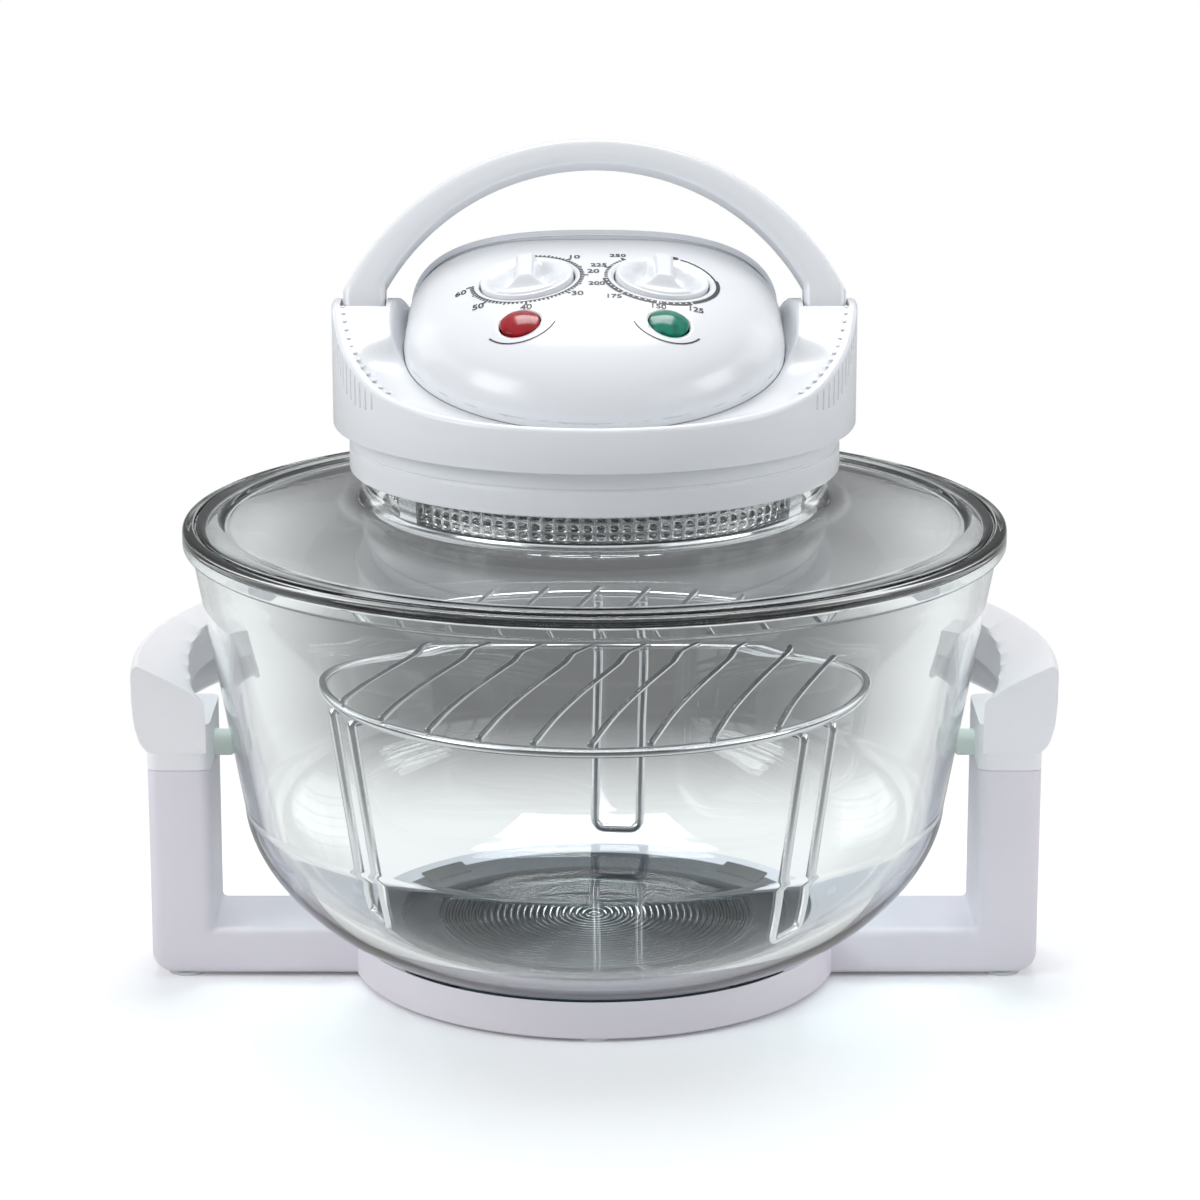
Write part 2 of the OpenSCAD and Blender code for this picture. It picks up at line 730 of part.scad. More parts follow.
module lamp_clips() {
    hold_r = lamp_tube_r + 0.15;
    stem_low = hold_r + lamp_clip_t - 0.1;
    color("silver") ring_of(3, -90) translate([lamp_r, 0, lamp_z]) {
        translate([0, lamp_clip_w / 2, 0]) rotate([90, 0, 0]) tube(hold_r + lamp_clip_t, hold_r, lamp_clip_w);
        translate([-lamp_clip_w / 2, -lamp_clip_w / 2, stem_low])
            cube([lamp_clip_w, lamp_clip_w, pan_z - lamp_z - stem_low]);
    }
}

module insulation_pad() {
    color("wheat") translate([0, 0, pan_z + sheet]) tube(pan_r - sheet - over, pad_hole_r, pad_h);
}

module heat_shield() {
    color("lightgray") translate([0, 0, shield_z]) tube(shield_r, shaft_r + 2, sheet);
}

// Motor on its bridge above the shield
bridge_r = 34;
bridge_t = 1.5;
bridge_leg_r = 52;
bridge_leg_w = 10;
motor_screw_at = 27;
motor_screw_r = 1.5;
motor_screw_head_r = 3;
motor_screw_head_h = 1.6;
motor_screw_l = 5;
bearing_r = 6;

module motor_bracket() {
    shield_top = shield_z + sheet;
    color("silver") difference() {
        union() {
            cylinder_at(0, 0, bracket_z, bridge_r, bridge_t);
            ring_of(3, 30) {
                translate([bearing_r + over, -bridge_leg_w / 2, bracket_z])
                    cube([bridge_leg_r - bearing_r - over, bridge_leg_w, bridge_t]);
                translate([bridge_leg_r - bridge_t, -bridge_leg_w / 2, shield_top])
                    cube([bridge_t, bridge_leg_w, bracket_z + bridge_t - shield_top]);
                translate([bridge_leg_r - bridge_t, -bridge_leg_w / 2, shield_top])
                    cube([bridge_leg_w, bridge_leg_w, bridge_t]);
            }
        }
        cylinder_at(0, 0, bracket_z - over, bearing_r + run_gap, 2 * over + bridge_t);
        ring_of(3, 90)
            cylinder_at(motor_screw_at, 0, bracket_z - over, motor_screw_r + 0.05, 2 * over + bridge_t);
    }
}

module fan_motor() {
    base = bracket_z + bridge_t;
    color("dimgray") difference() {
        union() {
            cylinder_at(0, 0, base, motor_r, motor_top_z - base);
            cylinder_at(0, 0, base, bridge_r - 3, sheet);
            cylinder_at(0, 0, bracket_z - 0.5, bearing_r, bridge_t + 1);
        }
        cylinder_at(0, 0, bracket_z - over, shaft_r + run_gap, motor_top_z);
        ring_of(3, 90)
            cylinder_at(motor_screw_at, 0, base - over, motor_screw_r + 0.05, 2 * over + sheet);
    }
}

module motor_screws() {
    top = bracket_z + bridge_t + sheet;
    color("silver") ring_of(3, 90) {
        cylinder_at(motor_screw_at, 0, top, motor_screw_head_r, motor_screw_head_h);
        cylinder_at(motor_screw_at, 0, top - motor_screw_l, motor_screw_r, motor_screw_l);
    }
}

fan_low_z = pan_z - 14.5;
shaft_low_z = fan_low_z - 5;
shaft_top_z = motor_top_z - 1;
fan_hub_r = 8;
fan_hub_h = 8;
fan_sheet = 1;
nut_r = 5.5;
nut_h = 3.5;
cool_fan_r = 42;
cool_low_z = collar_low_z + 3.5;
cool_hub_r = 9;
cool_hub_h = 10;
cool_blade_w = 14;
cool_blade_t = 1.2;

module fan_shaft() {
    color("silver") cylinder_at(0, 0, shaft_low_z, shaft_r, shaft_top_z - shaft_low_z);
}

module fan_nut() {
    color("silver") difference() {
        cylinder_at(0, 0, fan_low_z - nut_h, nut_r, nut_h, $fn = 6);
        cylinder_at(0, 0, fan_low_z - nut_h - over, shaft_r + 0.02, nut_h + 2 * over);
    }
}

module convection_fan() {
    color("silver") difference() {
        union() {
            cylinder_at(0, 0, fan_low_z, fan_hub_r, fan_hub_h);
            cylinder_at(0, 0, fan_low_z + fan_hub_h - fan_sheet, fan_r, fan_sheet);
            ring_of(10) translate([fan_hub_r + 2, -fan_sheet / 2, fan_low_z + fan_sheet / 2])
                rotate([0, 0, -12]) cube([fan_r - fan_hub_r - 5, fan_sheet, fan_hub_h - fan_sheet]);
        }
        cylinder_at(0, 0, fan_low_z - over, shaft_r + 0.02, fan_hub_h + 2 * over);
    }
}

module cooling_fan() {
    color("dimgray") difference() {
        union() {
            cylinder_at(0, 0, cool_low_z, cool_hub_r, cool_hub_h);
            ring_of(7) translate([cool_hub_r - 2, 0, cool_low_z + cool_hub_h / 2]) rotate([28, 0, 0])
                translate([0, -cool_blade_w / 2, -cool_blade_t / 2])
                    cube([cool_fan_r - cool_hub_r, cool_blade_w, cool_blade_t]);
        }
        cylinder_at(0, 0, cool_low_z - over, shaft_r + 0.02, cool_hub_h + 2 * over);
    }
}

// Collar with its two ears
deck_t = head_wall;
floor_hole_r = shield_r + 0.5;
inner_r = collar_r - head_wall;
slot_gap = 0.8;
slot_in_x = foot_in_x - slot_gap;
slot_out_x = foot_out_x + slot_gap;
slot_low_z = pivot_z - lug_r - 1.5;
slot_front_y = -lug_r - 1.2;
ear_in_x = foot_in_x - 6.5;
button_x = (foot_in_x + foot_out_x) / 2;
button_r = 2;
gland_r = 6;
gland_flange_r = 8;
gland_flange_t = 1.2;
gland_tail_r = 4.5;
gland_tail_l = 6;
gland_l = head_wall + 4;
gland_z = collar_low_z + 9.5;
mains_r = 3;
pin_end_x = collar_r - 1.6;
head_screw_head_r = 3;
head_screw_head_h = 2;
saddle = [[-130, collar_front_z], [-107, collar_front_z + 0.3], [-95, collar_front_z + 0.8],
    [-80, collar_front_z + 2.4], [-64, collar_front_z + 5.4], [-56, collar_front_z + 8],
    [-30, collar_front_z + 19], [-15, ear_top_z - 5.5], [-8, ear_top_z - 1], [-4, ear_top_z],
    [8, ear_top_z], [14, ear_top_z - 4.5], [slot_back_y, pivot_z + 0.5], [30, pivot_z - 4],
    [56, pivot_z - 10], [80, pivot_z - 13.5], [130, pivot_z - 16]];

// Rear cover: a barrel turned about the handle's own axis, so that the handle clears it at any lean
cover_step = 0.5;
barrel_r = 44.3;
barrel_x = foot_in_x - 3;
barrel_fullness = 2.6;
barrel_steps = 16;
cover_floor_y = 22;
vent_w = 3;
vent_pitch = 10;
vent_low = 6;
vent_h = 16;
bulkhead = 2;

// Everything below the collar's wavy top edge
module below_saddle(drop = 0) {
    rotate([90, 0, 90]) translate([0, -drop]) linear_extrude(4 * collar_r, center = true)
        polygon(concat(saddle, [[130, 100], [-130, 100]]));
}

// The part of the dome's frame in front of the rear cover
module front_of_cover(v1 = cover_v) {
    on_dome() translate([-150, -150, -60]) cube([300, 150 + v1, 160]);
}

module trough_cut() {
    intersection() {
        on_dome() rotate_extrude() polygon([[0, deck_h], [dome_r + 1, deck_h], [dome_r + 3.5, deck_h + 1.5],
            [trough_r - 1, deck_h + 6], [trough_r, deck_h + 12], [trough_r, 60], [0, 60]]);
        front_of_cover();
    }
}

module housing_cavity() {
    difference() {
        intersection() {
            cylinder_at(0, 0, collar_low_z + head_wall, inner_r, 60);
            below_saddle(deck_t);
            on_dome() translate([0, 0, deck_h - deck_t - 100]) cylinder(r = 150, h = 100);
        }
        both_sides() translate([ear_in_x, -ear_half_y, ear_low_z]) cube([40, 2 * ear_half_y, 60]);
    }
}

module head_housing() {
    color("white") difference() {
        intersection() {
            cylinder_at(0, 0, collar_low_z, collar_r, 80, $fn = 144);
            below_saddle();
        }
        trough_cut();
        housing_cavity();
        cylinder_at(0, 0, collar_low_z - over, floor_hole_r, head_wall + 2 * over);
        intersection() {
            on_dome() translate([0, 0, -30]) cylinder(r = dome_r - 4, h = 60);
            front_of_cover(cover_v - 2);
        }
        translate([-barrel_x * 0.8, cover_floor_y, collar_low_z + 5]) cube([barrel_x * 1.6, 14, 60]);
        both_sides() {
            translate([slot_in_x, slot_front_y, slot_low_z])
                cube([slot_out_x - slot_in_x, slot_back_y - slot_front_y, 60]);
            translate([ear_in_x - over, 0, pivot_z]) rotate([0, 90, 0])
                cylinder(r = pin_r + 0.02, h = pin_end_x + 0.1 - ear_in_x + over);
        }
        cylinder_at(button_x, 0, ear_low_z - over, button_r + run_gap, slot_low_z - ear_low_z + 2 * over);
        ring_of(4, 45)
            cylinder_at(head_screw_at, 0, collar_low_z - over, head_screw_r + 0.2, head_wall + 2 * over);
        translate([0, collar_r + over, gland_z]) rotate([90, 0, 0])
            cylinder(r = gland_r + 0.1, h = head_wall + 3 * over);
    }
}

module handle_pins() {
    color("silver") both_sides() translate([ear_in_x + 0.5, 0, pivot_z]) rotate([0, 90, 0])
        cylinder(r = pin_r, h = pin_end_x - ear_in_x - 0.5);
}

module head_screws() {
    top = collar_low_z + head_wall;
    color("silver") ring_of(4, 45) {
        cylinder_at(head_screw_at, 0, top, head_screw_head_r, head_screw_head_h);
        cylinder_at(head_screw_at, 0, collar_low_z - screw_hold, head_screw_r, screw_hold + head_wall);
    }
}

module cord_gland() {
    color("dimgray") translate([0, collar_r, gland_z]) rotate([90, 0, 0]) difference() {
        union() {
            translate([0, 0, -gland_tail_l])
                cylinder(r1 = gland_tail_r, r2 = gland_r, h = gland_tail_l - gland_flange_t + 0.2);
            translate([0, 0, -gland_flange_t]) cylinder(r = gland_flange_r, h = gland_flange_t);
            cylinder(r = gland_r, h = gland_l);
        }
        translate([0, 0, -over - gland_tail_l])
            cylinder(r = mains_r + gap, h = gland_tail_l + gland_l + 2 * over);
    }
}

// Domed control panel, with wells for the knobs
module dome_body(r_out, h_out) {
    on_dome() rotate_extrude($fn = 144)
        polygon(concat([[0, deck_h], [r_out, deck_h]], turned(dome_curve(r_out, h_out))));
}

module dome_shell() {
    inside = dome_curve(dome_r - panel_t, dome_h - panel_t);
    on_dome() rotate_extrude($fn = 144) polygon(concat(
        inside, [[dome_r - panel_t, deck_h], [dome_r, deck_h]], turned(dome_curve(dome_r, dome_h))));
}

module panel_half(v0, v1) {
    on_dome() translate([-100, v0, -20]) cube([200, v1 - v0, 80]);
}

well_r = knob_r + 0.7;
well_wall = 2;
well_floor = 2;

module control_panel() {
    color("white") difference() {
        union() {
            intersection() {
                dome_shell();
                panel_half(-100, cover_v);
            }
            intersection() {
                dome_body(dome_r - 0.2, dome_h - 0.2);
                for (s = [-1, 1]) on_knob(s) translate([0, 0, -well_depth - well_floor])
                    cylinder(r = well_r + well_wall, h = 30);
            }
        }
        for (s = [-1, 1]) {
            on_knob(s) translate([0, 0, -well_depth]) cylinder(r = well_r, h = 40);
            on_knob(s) translate([0, 0, -well_depth - well_floor - over]) cylinder(r = 3.4, h = 20);
            on_lens(s) translate([0, 0, -12]) cylinder(r = lens_r + 0.1, h = 30);
        }
    }
}

module barrel(r, half) {
    translate([0, 0, pivot_z]) rotate([0, 90, 0]) rotate_extrude($fn = 144) polygon(
        [for (i = [-barrel_steps:barrel_steps]) let (x = half * sin(90 * i / barrel_steps))
            [r * pow(max(0, 1 - pow(abs(x) / half, barrel_fullness)), 0.3), x]]);
}

module rear_cover() {
    color("whitesmoke") difference() {
        intersection() {
            union() {
                difference() {
                    barrel(barrel_r, barrel_x);
                    barrel(barrel_r - panel_t, barrel_x - panel_t);
                }
                intersection() {
                    barrel(barrel_r - 0.5, barrel_x - 0.5);
                    panel_half(cover_v + cover_step, cover_v + cover_step + bulkhead);
                }
            }
            panel_half(cover_v + cover_step, 150);
        }
        translate([0, 0, 0.05]) below_saddle();
        for (i = [-4:4]) translate([vent_pitch * i - vent_w / 2, barrel_r / 1.5, pivot_z + vent_low])
            cube([vent_w, barrel_r, vent_h]);
    }
}

lens_proud = 0.8;
lens_tail = 1.5;
bulb_r = 3;
bulb_l = 13.5;

module lens(side, c) {
    color(c) on_lens(side) {
        translate([0, 0, -panel_t]) cylinder(r = lens_r, h = panel_t + lens_proud);
        translate([0, 0, -panel_t - lens_tail]) cylinder(r = lens_r - 1, h = lens_tail);
    }
}

module power_lens() {
    lens(-1, "crimson");
}

module heat_lens() {
    lens(1, "seagreen");
}

module indicator_lamps() {
    color("orange") for (s = [-1, 1]) on_lens(s)
        translate([0, 0, -panel_t - lens_tail - bulb_l]) cylinder(r = bulb_r, h = bulb_l);
}

// Units behind the knobs
unit_top = -well_depth - well_floor;
unit_h = 13;
timer_w = 28;
timer_l = 30;
stat_r = 14;
stat_ear_w = 8;
stat_ear_t = 5;
spindle_low = unit_top - unit_h + 2;
spindle_r = 3;
knob_low = -well_depth + 0.8;
spindle_in = 3.5;
spindle_top = knob_low + spindle_in;

module timer_unit() {
    color("dimgray") on_knob(-1) difference() {
        translate([-timer_w / 2, -timer_l / 2, unit_top - unit_h]) cube([timer_w, timer_l, unit_h]);
        translate([0, 0, spindle_low - gap]) cylinder(r = spindle_r + run_gap, h = 2 * unit_h);
    }
}

module thermostat_unit() {
    color("dimgray") on_knob(1) difference() {
        union() {
            translate([0, 0, unit_top - unit_h]) cylinder(r = stat_r, h = unit_h);
            translate([-stat_r, -stat_ear_w / 2, unit_top - stat_ear_t])
                cube([2 * stat_r, stat_ear_w, stat_ear_t]);
        }
        translate([0, 0, spindle_low - gap]) cylinder(r = spindle_r + run_gap, h = 2 * unit_h);
    }
}

// Capillary stub under the thermostat, and the bulb that lies on the shield
stub_r = 1;
stub_l = 8;
stub_at = 10;
probe_r = 2.5;
probe_l = 30;
probe_at = [shield_r - 23.5, -24];

module thermostat_probe() {
    color("peru") {
        on_knob(1) translate([stub_at, 0, unit_top - unit_h - stub_l]) cylinder(r = stub_r, h = stub_l);
        translate([probe_at[0], probe_at[1], shield_z + sheet + probe_r]) rotate([90, 0, 0])
            cylinder(r = probe_r, h = probe_l);
    }
}

// Knob: a round dish with a bar across it
knob_edge = 0.8;
dish_edge_w = 4.5;
dish_edge_d = 3.4;
dish_w = 10;
dish_d = 5;
knob_bar_w = 6.8;
knob_bar_h = 5;

module knob(side, c) {
    color(c) on_knob(side) difference() {
        union() {
            rotate_extrude() polygon([[0, knob_low], [knob_r - 1, knob_low], [knob_r, knob_low + 1],
                [knob_r, -knob_edge], [knob_r - knob_edge, 0], [knob_r - 2 * knob_edge, -0.3],
                [knob_r - dish_edge_w, -dish_edge_d], [knob_r - dish_w, -dish_d + 0.2], [0, -dish_d]]);
            intersection() {
                translate([0, 0, -dish_d - 1]) cylinder(r = knob_r - 0.4, h = dish_d + knob_bar_h + 2);
                translate([-knob_bar_w / 2, -knob_r, -dish_d - 1])
                    cube([knob_bar_w, 2 * knob_r, dish_d + 1 + knob_bar_h]);
            }
        }
        translate([0, 0, knob_low - over]) cylinder(r = spindle_r + 0.02, h = spindle_top - knob_low + over);
    }
}

module spindle(side) {
    color("silver") on_knob(side) translate([0, 0, spindle_low])
        cylinder(r = spindle_r, h = spindle_top - spindle_low);
}

// Switch that the right foot of the handle holds closed
button_top_z = pivot_z - lug_r - 0.7;
button_low_z = collar_low_z + 11.5;
switch_h = 12;
switch_w = 14;
switch_d = 12;
switch_in = 8;

module safety_switch() {
    color("dimgray") difference() {
        translate([button_x - switch_in, -switch_d / 2, ear_low_z - switch_h])
            cube([switch_w, switch_d, switch_h]);
        cylinder_at(button_x, 0, button_low_z - 2, button_r + run_gap, 20);
    }
}

module switch_button() {
    color("firebrick") cylinder_at(button_x, 0, button_low_z, button_r, button_top_z - button_low_z);
}

terminal_y = 58;
terminal_w = 30;
terminal_d = 12;
terminal_h = 11;

module terminal_block() {
    color("ivory") translate([-terminal_w / 2, terminal_y, shield_z + sheet])
        cube([terminal_w, terminal_d, terminal_h]);
}

// Two leads that climb from the terminals to the motor, and the mains lead from the gland
lead_r = 1.3;
lead_x = 8;
lead_rise_y = 48;
lead_top_z = bracket_z + 4.5;

module lead_along_y(x, z, y0, y1, r) {
    translate([x, y1, z]) rotate([90, 0, 0]) cylinder(r = r, h = y1 - y0, $fn = 24);
}

module wiring() {
    motor_y = sqrt(pow(motor_r, 2) - pow(lead_x - lead_r, 2)) + 0.05;
    color("firebrick") {
        both_sides() {
            lead_along_y(lead_x, gland_z, lead_rise_y, terminal_y, lead_r);
            cylinder_at(lead_x, lead_rise_y, gland_z - lead_r, lead_r,
                lead_top_z - gland_z + 2 * lead_r, $fn = 24);
            lead_along_y(lead_x, lead_top_z, motor_y, lead_rise_y, lead_r);
        }
        lead_along_y(0, gland_z, terminal_y + terminal_d, collar_r - gland_l + 0.2, mains_r);
    }
}

// Arched handle in its own upright plane, before it leans back
inner_top = arch_h - arch_t;
inner_foot = 20;
inner_c = (pow(inner_top, 2) - pow(inner_foot, 2) - pow(foot_in_x, 2)) / (2 * (inner_top - inner_foot));

module carry_handle() {
    color("white") translate([0, 0, pivot_z]) rotate([-handle_lean, 0, 0]) difference() {
        union() {
            upright(handle_d) intersection() {
                difference() {
                    translate([0, arch_h - arch_r]) circle(r = arch_r, $fn = 144);
                    translate([0, inner_c]) circle(r = inner_top - inner_c, $fn = 144);
                }
                translate([-foot_out_x, inner_foot]) square([2 * foot_out_x, 100]);
            }
            both_sides() {
                translate([foot_in_x, -handle_d / 2, 0]) cube([foot_w, handle_d, inner_foot + 0.01]);
                translate([foot_in_x, 0, 0]) rotate([0, 90, 0]) cylinder(r = lug_r, h = foot_w);
            }
        }
        both_sides() translate([foot_in_x - over, 0, 0]) rotate([0, 90, 0])
            cylinder(r = pin_r + run_gap, h = foot_w + 2 * over);
    }
}

module time_knob() {
    knob(-1, "white");
}

module temp_knob() {
    knob(1, "white");
}

module time_shaft() {
    spindle(-1);
}

module temp_shaft() {
    spindle(1);
}

base_ring();
left_arm();
right_arm();
left_grip();
right_grip();
bumper_pegs();
bowl_pads();
rubber_feet();
heat_plate();
stand_screws();
glass_bowl();
rack_ring();
rack_bars();
rack_legs();
glass_lid();
neck_gasket();
neck_ring();
neck_clips();
reflector_pan();
guard();
guard_rim();
guard_screws();
halogen_lamp();
lamp_sockets();
lamp_clips();
insulation_pad();
heat_shield();
motor_bracket();
fan_motor();
motor_screws();
head_housing();
head_screws();
control_panel();
rear_cover();
timer_unit();
thermostat_unit();
thermostat_probe();
power_lens();
heat_lens();
indicator_lamps();
safety_switch();
switch_button();
terminal_block();
wiring();
cord_gland();
handle_pins();
carry_handle();
time_knob();
time_shaft();
temp_knob();
temp_shaft();
fan_shaft();
convection_fan();
cooling_fan();
fan_nut();
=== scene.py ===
import bmesh
import bpy
import numpy as np
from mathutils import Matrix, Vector
from mathutils.geometry import delaunay_2d_cdt


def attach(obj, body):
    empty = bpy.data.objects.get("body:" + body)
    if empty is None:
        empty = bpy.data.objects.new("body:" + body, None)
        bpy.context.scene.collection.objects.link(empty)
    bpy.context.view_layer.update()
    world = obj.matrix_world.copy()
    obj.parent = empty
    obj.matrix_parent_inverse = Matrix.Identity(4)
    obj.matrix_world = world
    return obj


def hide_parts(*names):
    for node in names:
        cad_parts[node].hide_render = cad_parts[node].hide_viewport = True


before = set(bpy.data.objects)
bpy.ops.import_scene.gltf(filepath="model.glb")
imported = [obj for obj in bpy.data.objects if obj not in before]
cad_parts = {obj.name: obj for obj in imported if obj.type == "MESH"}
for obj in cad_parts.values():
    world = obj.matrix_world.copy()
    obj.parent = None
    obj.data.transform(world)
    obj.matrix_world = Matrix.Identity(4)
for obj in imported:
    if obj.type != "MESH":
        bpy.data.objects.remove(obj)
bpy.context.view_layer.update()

# Table and studio: the oven stands on a pale sweep, seen from the front and a little above. Three
# soft lamps light it under a pale sky with windows drawn in it, and dark cards lie on the floor
# behind it and in front: gloss and glass alone see them, and they draw the edges of the bowl.

white_card, card_in_view = (0.93, 0.94, 0.95, 1), (1.06, 1.075, 1.10, 1)
eye_distance, eye_height, eye_pitch = 1.6, 0.5629, 14.28
focal_pixels, frame_pixels, centre_pixel, sensor = 4014, 1200, 594.5, 36
panes_across, sky_on_matt, floor_half = 9, 0.46, 9


class Socket:
    """One output of a material's nodes. Arithmetic on it adds Math nodes; make() adds any other node."""

    def __init__(self, tree, link=None):
        self.tree, self.link = tree, link

    def make(self, kind, settings=None, inputs=None, out=0):
        """Adds one node: first its settings, then a value or a link for each named input."""
        node = self.tree.nodes.new("ShaderNode" + kind)
        for name, value in (settings or {}).items():
            setattr(node, name, value)
        for name, value in (inputs or {}).items():
            if isinstance(value, Socket):
                self.tree.links.new(value.link, node.inputs[name])
            else:
                node.inputs[name].default_value = value
        return Socket(self.tree, node.outputs[out])

    def other(self, name):
        """Another output of the same node."""
        return Socket(self.tree, self.link.node.outputs[name])

    def maths(self, operation, *terms):
        return self.make("Math", {"operation": operation}, dict(enumerate(terms)))

    def __add__(self, other):
        return self.maths("ADD", self, other)

    def __sub__(self, other):
        return self.maths("SUBTRACT", self, other)

    def __rsub__(self, other):
        return self.maths("SUBTRACT", other, self)

    def __mul__(self, other):
        return self.maths("MULTIPLY", self, other)

    def __truediv__(self, other):
        return self.maths("DIVIDE", self, other)

    def __pow__(self, other):
        return self.maths("POWER", self, other)

    __radd__, __rmul__ = __add__, __mul__

    def step(self, low, high):
        """0 below low, 1 above high and a smooth S between them."""
        return self.make("MapRange", {"interpolation_type": "SMOOTHSTEP"},
                         {"Value": self, "From Min": low, "From Max": high})

    def blend(self, first, second):
        """The first colour where this is 0 and the second where it is 1."""
        return self.make("Mix", {"data_type": "RGBA"}, {0: self, 6: first, 7: second}, out=2)

    def point(self):
        """The point on the surface, in metres in the oven's own frame."""
        return self.make("TexCoord", out="Object")

    def split(self):
        """The three parts of a vector."""
        parts = self.make("SeparateXYZ", inputs={"Vector": self})
        return [parts.other(i) for i in range(3)]

    def noise(self, scale, detail):
        """Smooth random values from 0 to 1 at the point that this is."""
        return self.make("TexNoise", inputs={"Vector": self, "Scale": scale, "Detail": detail}, out="Fac")

    def bump(self, depth, strength):
        """The surface's direction where this is its height, from 0 to depth in metres."""
        return self.make("Bump", inputs={"Height": self, "Distance": depth, "Strength": strength})

    def rays(self):
        """Whether the camera sees this directly, in gloss or through glass: 1 or 0 for each. A ray
        through glass is marked as gloss as well, which is taken off again."""
        path = self.make("LightPath")
        direct, gloss, through = (
            path.other(f"Is {kind} Ray") for kind in ("Camera", "Glossy", "Transmission"))
        return direct, gloss * (1 - through), through


def show(name, data):
    """Puts an object of this data in the scene."""
    made = bpy.data.objects.new(name, data)
    bpy.context.scene.collection.objects.link(made)
    return made


camera = show("camera", bpy.data.cameras.new("camera"))
camera.location = (0, -eye_distance, eye_height)
camera.rotation_euler = (np.radians(90 - eye_pitch), 0, 0)
camera.data.sensor_width = sensor
camera.data.lens = focal_pixels / frame_pixels * sensor
camera.data.shift_x = (frame_pixels / 2 - centre_pixel) / frame_pixels
camera.data.clip_end = 50
bpy.context.scene.camera = camera
bpy.context.scene.view_settings.view_transform = "Standard"

world = bpy.data.worlds.new("studio")
bpy.context.scene.world = world
world.use_nodes = True
sky = Socket(world.node_tree)
sideways, _, up = sky.make("TexCoord", out="Generated").split()
across = sky.maths("ABSOLUTE", sideways)
window = (across.step(0.5, 0.6) * (1 - across.step(0.86, 0.93))
          * up.step(0.08, 0.16) * (1 - up.step(0.5, 0.58)))
panes = 1.5 * window * sky.maths("FRACT", sideways * panes_across).step(0.08, 0.14)
ceiling = up.step(0.72, 0.9)
high = up.step(0.36, 0.6) * (1 - across.step(0.5, 0.8))
direct, mirrored, through = sky.rays()
seen = mirrored * (0.3 + 0.5 * high + 0.3 * ceiling + panes) + through * (0.08 + high + panes)
brightness = direct + (1 - direct) * (seen + (1 - mirrored - through) * sky_on_matt)
surface = world.node_tree.nodes["Background"]
world.node_tree.links.new(brightness.link, surface.inputs["Strength"])
surface.inputs["Color"].default_value = (0.97, 0.985, 1, 1)


def lamp(name, place, target, size, power):
    """A square soft lamp turned to face its target; lengths in metres, power in watts."""
    light = bpy.data.lights.new(name, "AREA")
    light.shape, light.size, light.energy = "SQUARE", size, power
    made = show(name, light)
    made.location = place
    made.rotation_euler = (Vector(target) - Vector(place)).to_track_quat("-Z", "Y").to_euler()
    made.visible_camera = False


lamp("left_window", (-1.7, -0.9, 1.3), (0, 0, 0.15), 1.0, 16)
lamp("right_window", (1.8, -0.5, 1.0), (0, 0, 0.15), 0.8, 8)
lamp("top_window", (0, 0.7, 1.8), (0, 0, 0.1), 0.9, 20)

floor_mesh = bpy.data.meshes.new("floor")
corner = ((-1, -1, 0), (1, -1, 0), (1, 1, 0), (-1, 1, 0))
floor_mesh.from_pydata(np.array(corner) * floor_half, [], [(0, 1, 2, 3)])
floor = show("floor", floor_mesh)
sweep = bpy.data.materials.new("white_sweep")
sweep.use_nodes = True
start = Socket(sweep.node_tree)
direct, mirrored, through = start.rays()
spot = start.point()
spot_x, spot_y, _ = spot.split()
far = start.make("VectorMath", {"operation": "LENGTH"}, {0: spot}, out="Value")
slant = spot_x / (spot_y + eye_distance)
back_card = (1 - (slant * slant).step(0.001, 0.013)) * spot_y.step(0.16, 0.38)
cards = back_card + (1 - spot_y.step(-0.3, -0.1))
share = direct * (0.05 + 0.95 * far.step(0.12, 0.38)) + 0.95 * through + mirrored
darker = cards * (0.84 * through + 0.35 * mirrored)
matt = start.make("BsdfDiffuse", inputs={"Color": direct.blend(white_card, card_in_view)})
glow = start.make("Emission", inputs={"Color": (1, 1, 1, 1), "Strength": 1 - 0.5 * mirrored - darker})
both = start.make("MixShader", inputs={0: share, 1: matt, 2: glow})
sweep.node_tree.links.new(both.link, sweep.node_tree.nodes["Material Output"].inputs["Surface"])
floor_mesh.materials.append(sweep)

# Base ring: a moulding in pale plastic that the bowl's foot stands over. Its top follows the bowl's
# underside, and a groove inside holds the heat plate's edge.

MM = 0.001
crease = np.radians(38)
ring_r, ring_in_r, ring_low_z, ring_top_z, plate_z, plate_t = 101, 84, 1.5, 17.6, 4, 1.5
bowl_base_z, bowl_flat_r, bowl_foot_r, foot_z, foot_power = 9.5, 70, 145, 73, 1.7


def finish(name, paint, **constants):
    """A material on one Principled shader. constants hold all over; paint(start) returns what varies."""
    material = bpy.data.materials.new(name)
    material.use_nodes = True
    tree = material.node_tree
    shader = tree.nodes["Principled BSDF"]
    for socket, value in constants.items():
        shader.inputs[socket.replace("_", " ")].default_value = value
    for socket, value in paint(Socket(tree)).items():
        tree.links.new(value.link, shader.inputs[socket])
    return material


def mottled(colour, second, clouds, gloss, grain, depth, strength, lumps=0):
    """Paint in two close tones that change in clouds, with a wandering roughness and a fine raised
    grain, to which lumps adds a share of the clouds. clouds and grain are the scale and detail of a
    noise; gloss is the least roughness, its range and its noise; depth is the grain's, in metres."""
    def paint(start):
        point = start.point()
        cloud, height = point.noise(*clouds), point.noise(*grain)
        if lumps:
            height += lumps * cloud
        return {"Base Color": cloud.blend(colour, second),
                "Roughness": gloss[0] + gloss[1] * point.noise(*gloss[2:]),
                "Normal": height.bump(depth, strength)}
    return paint


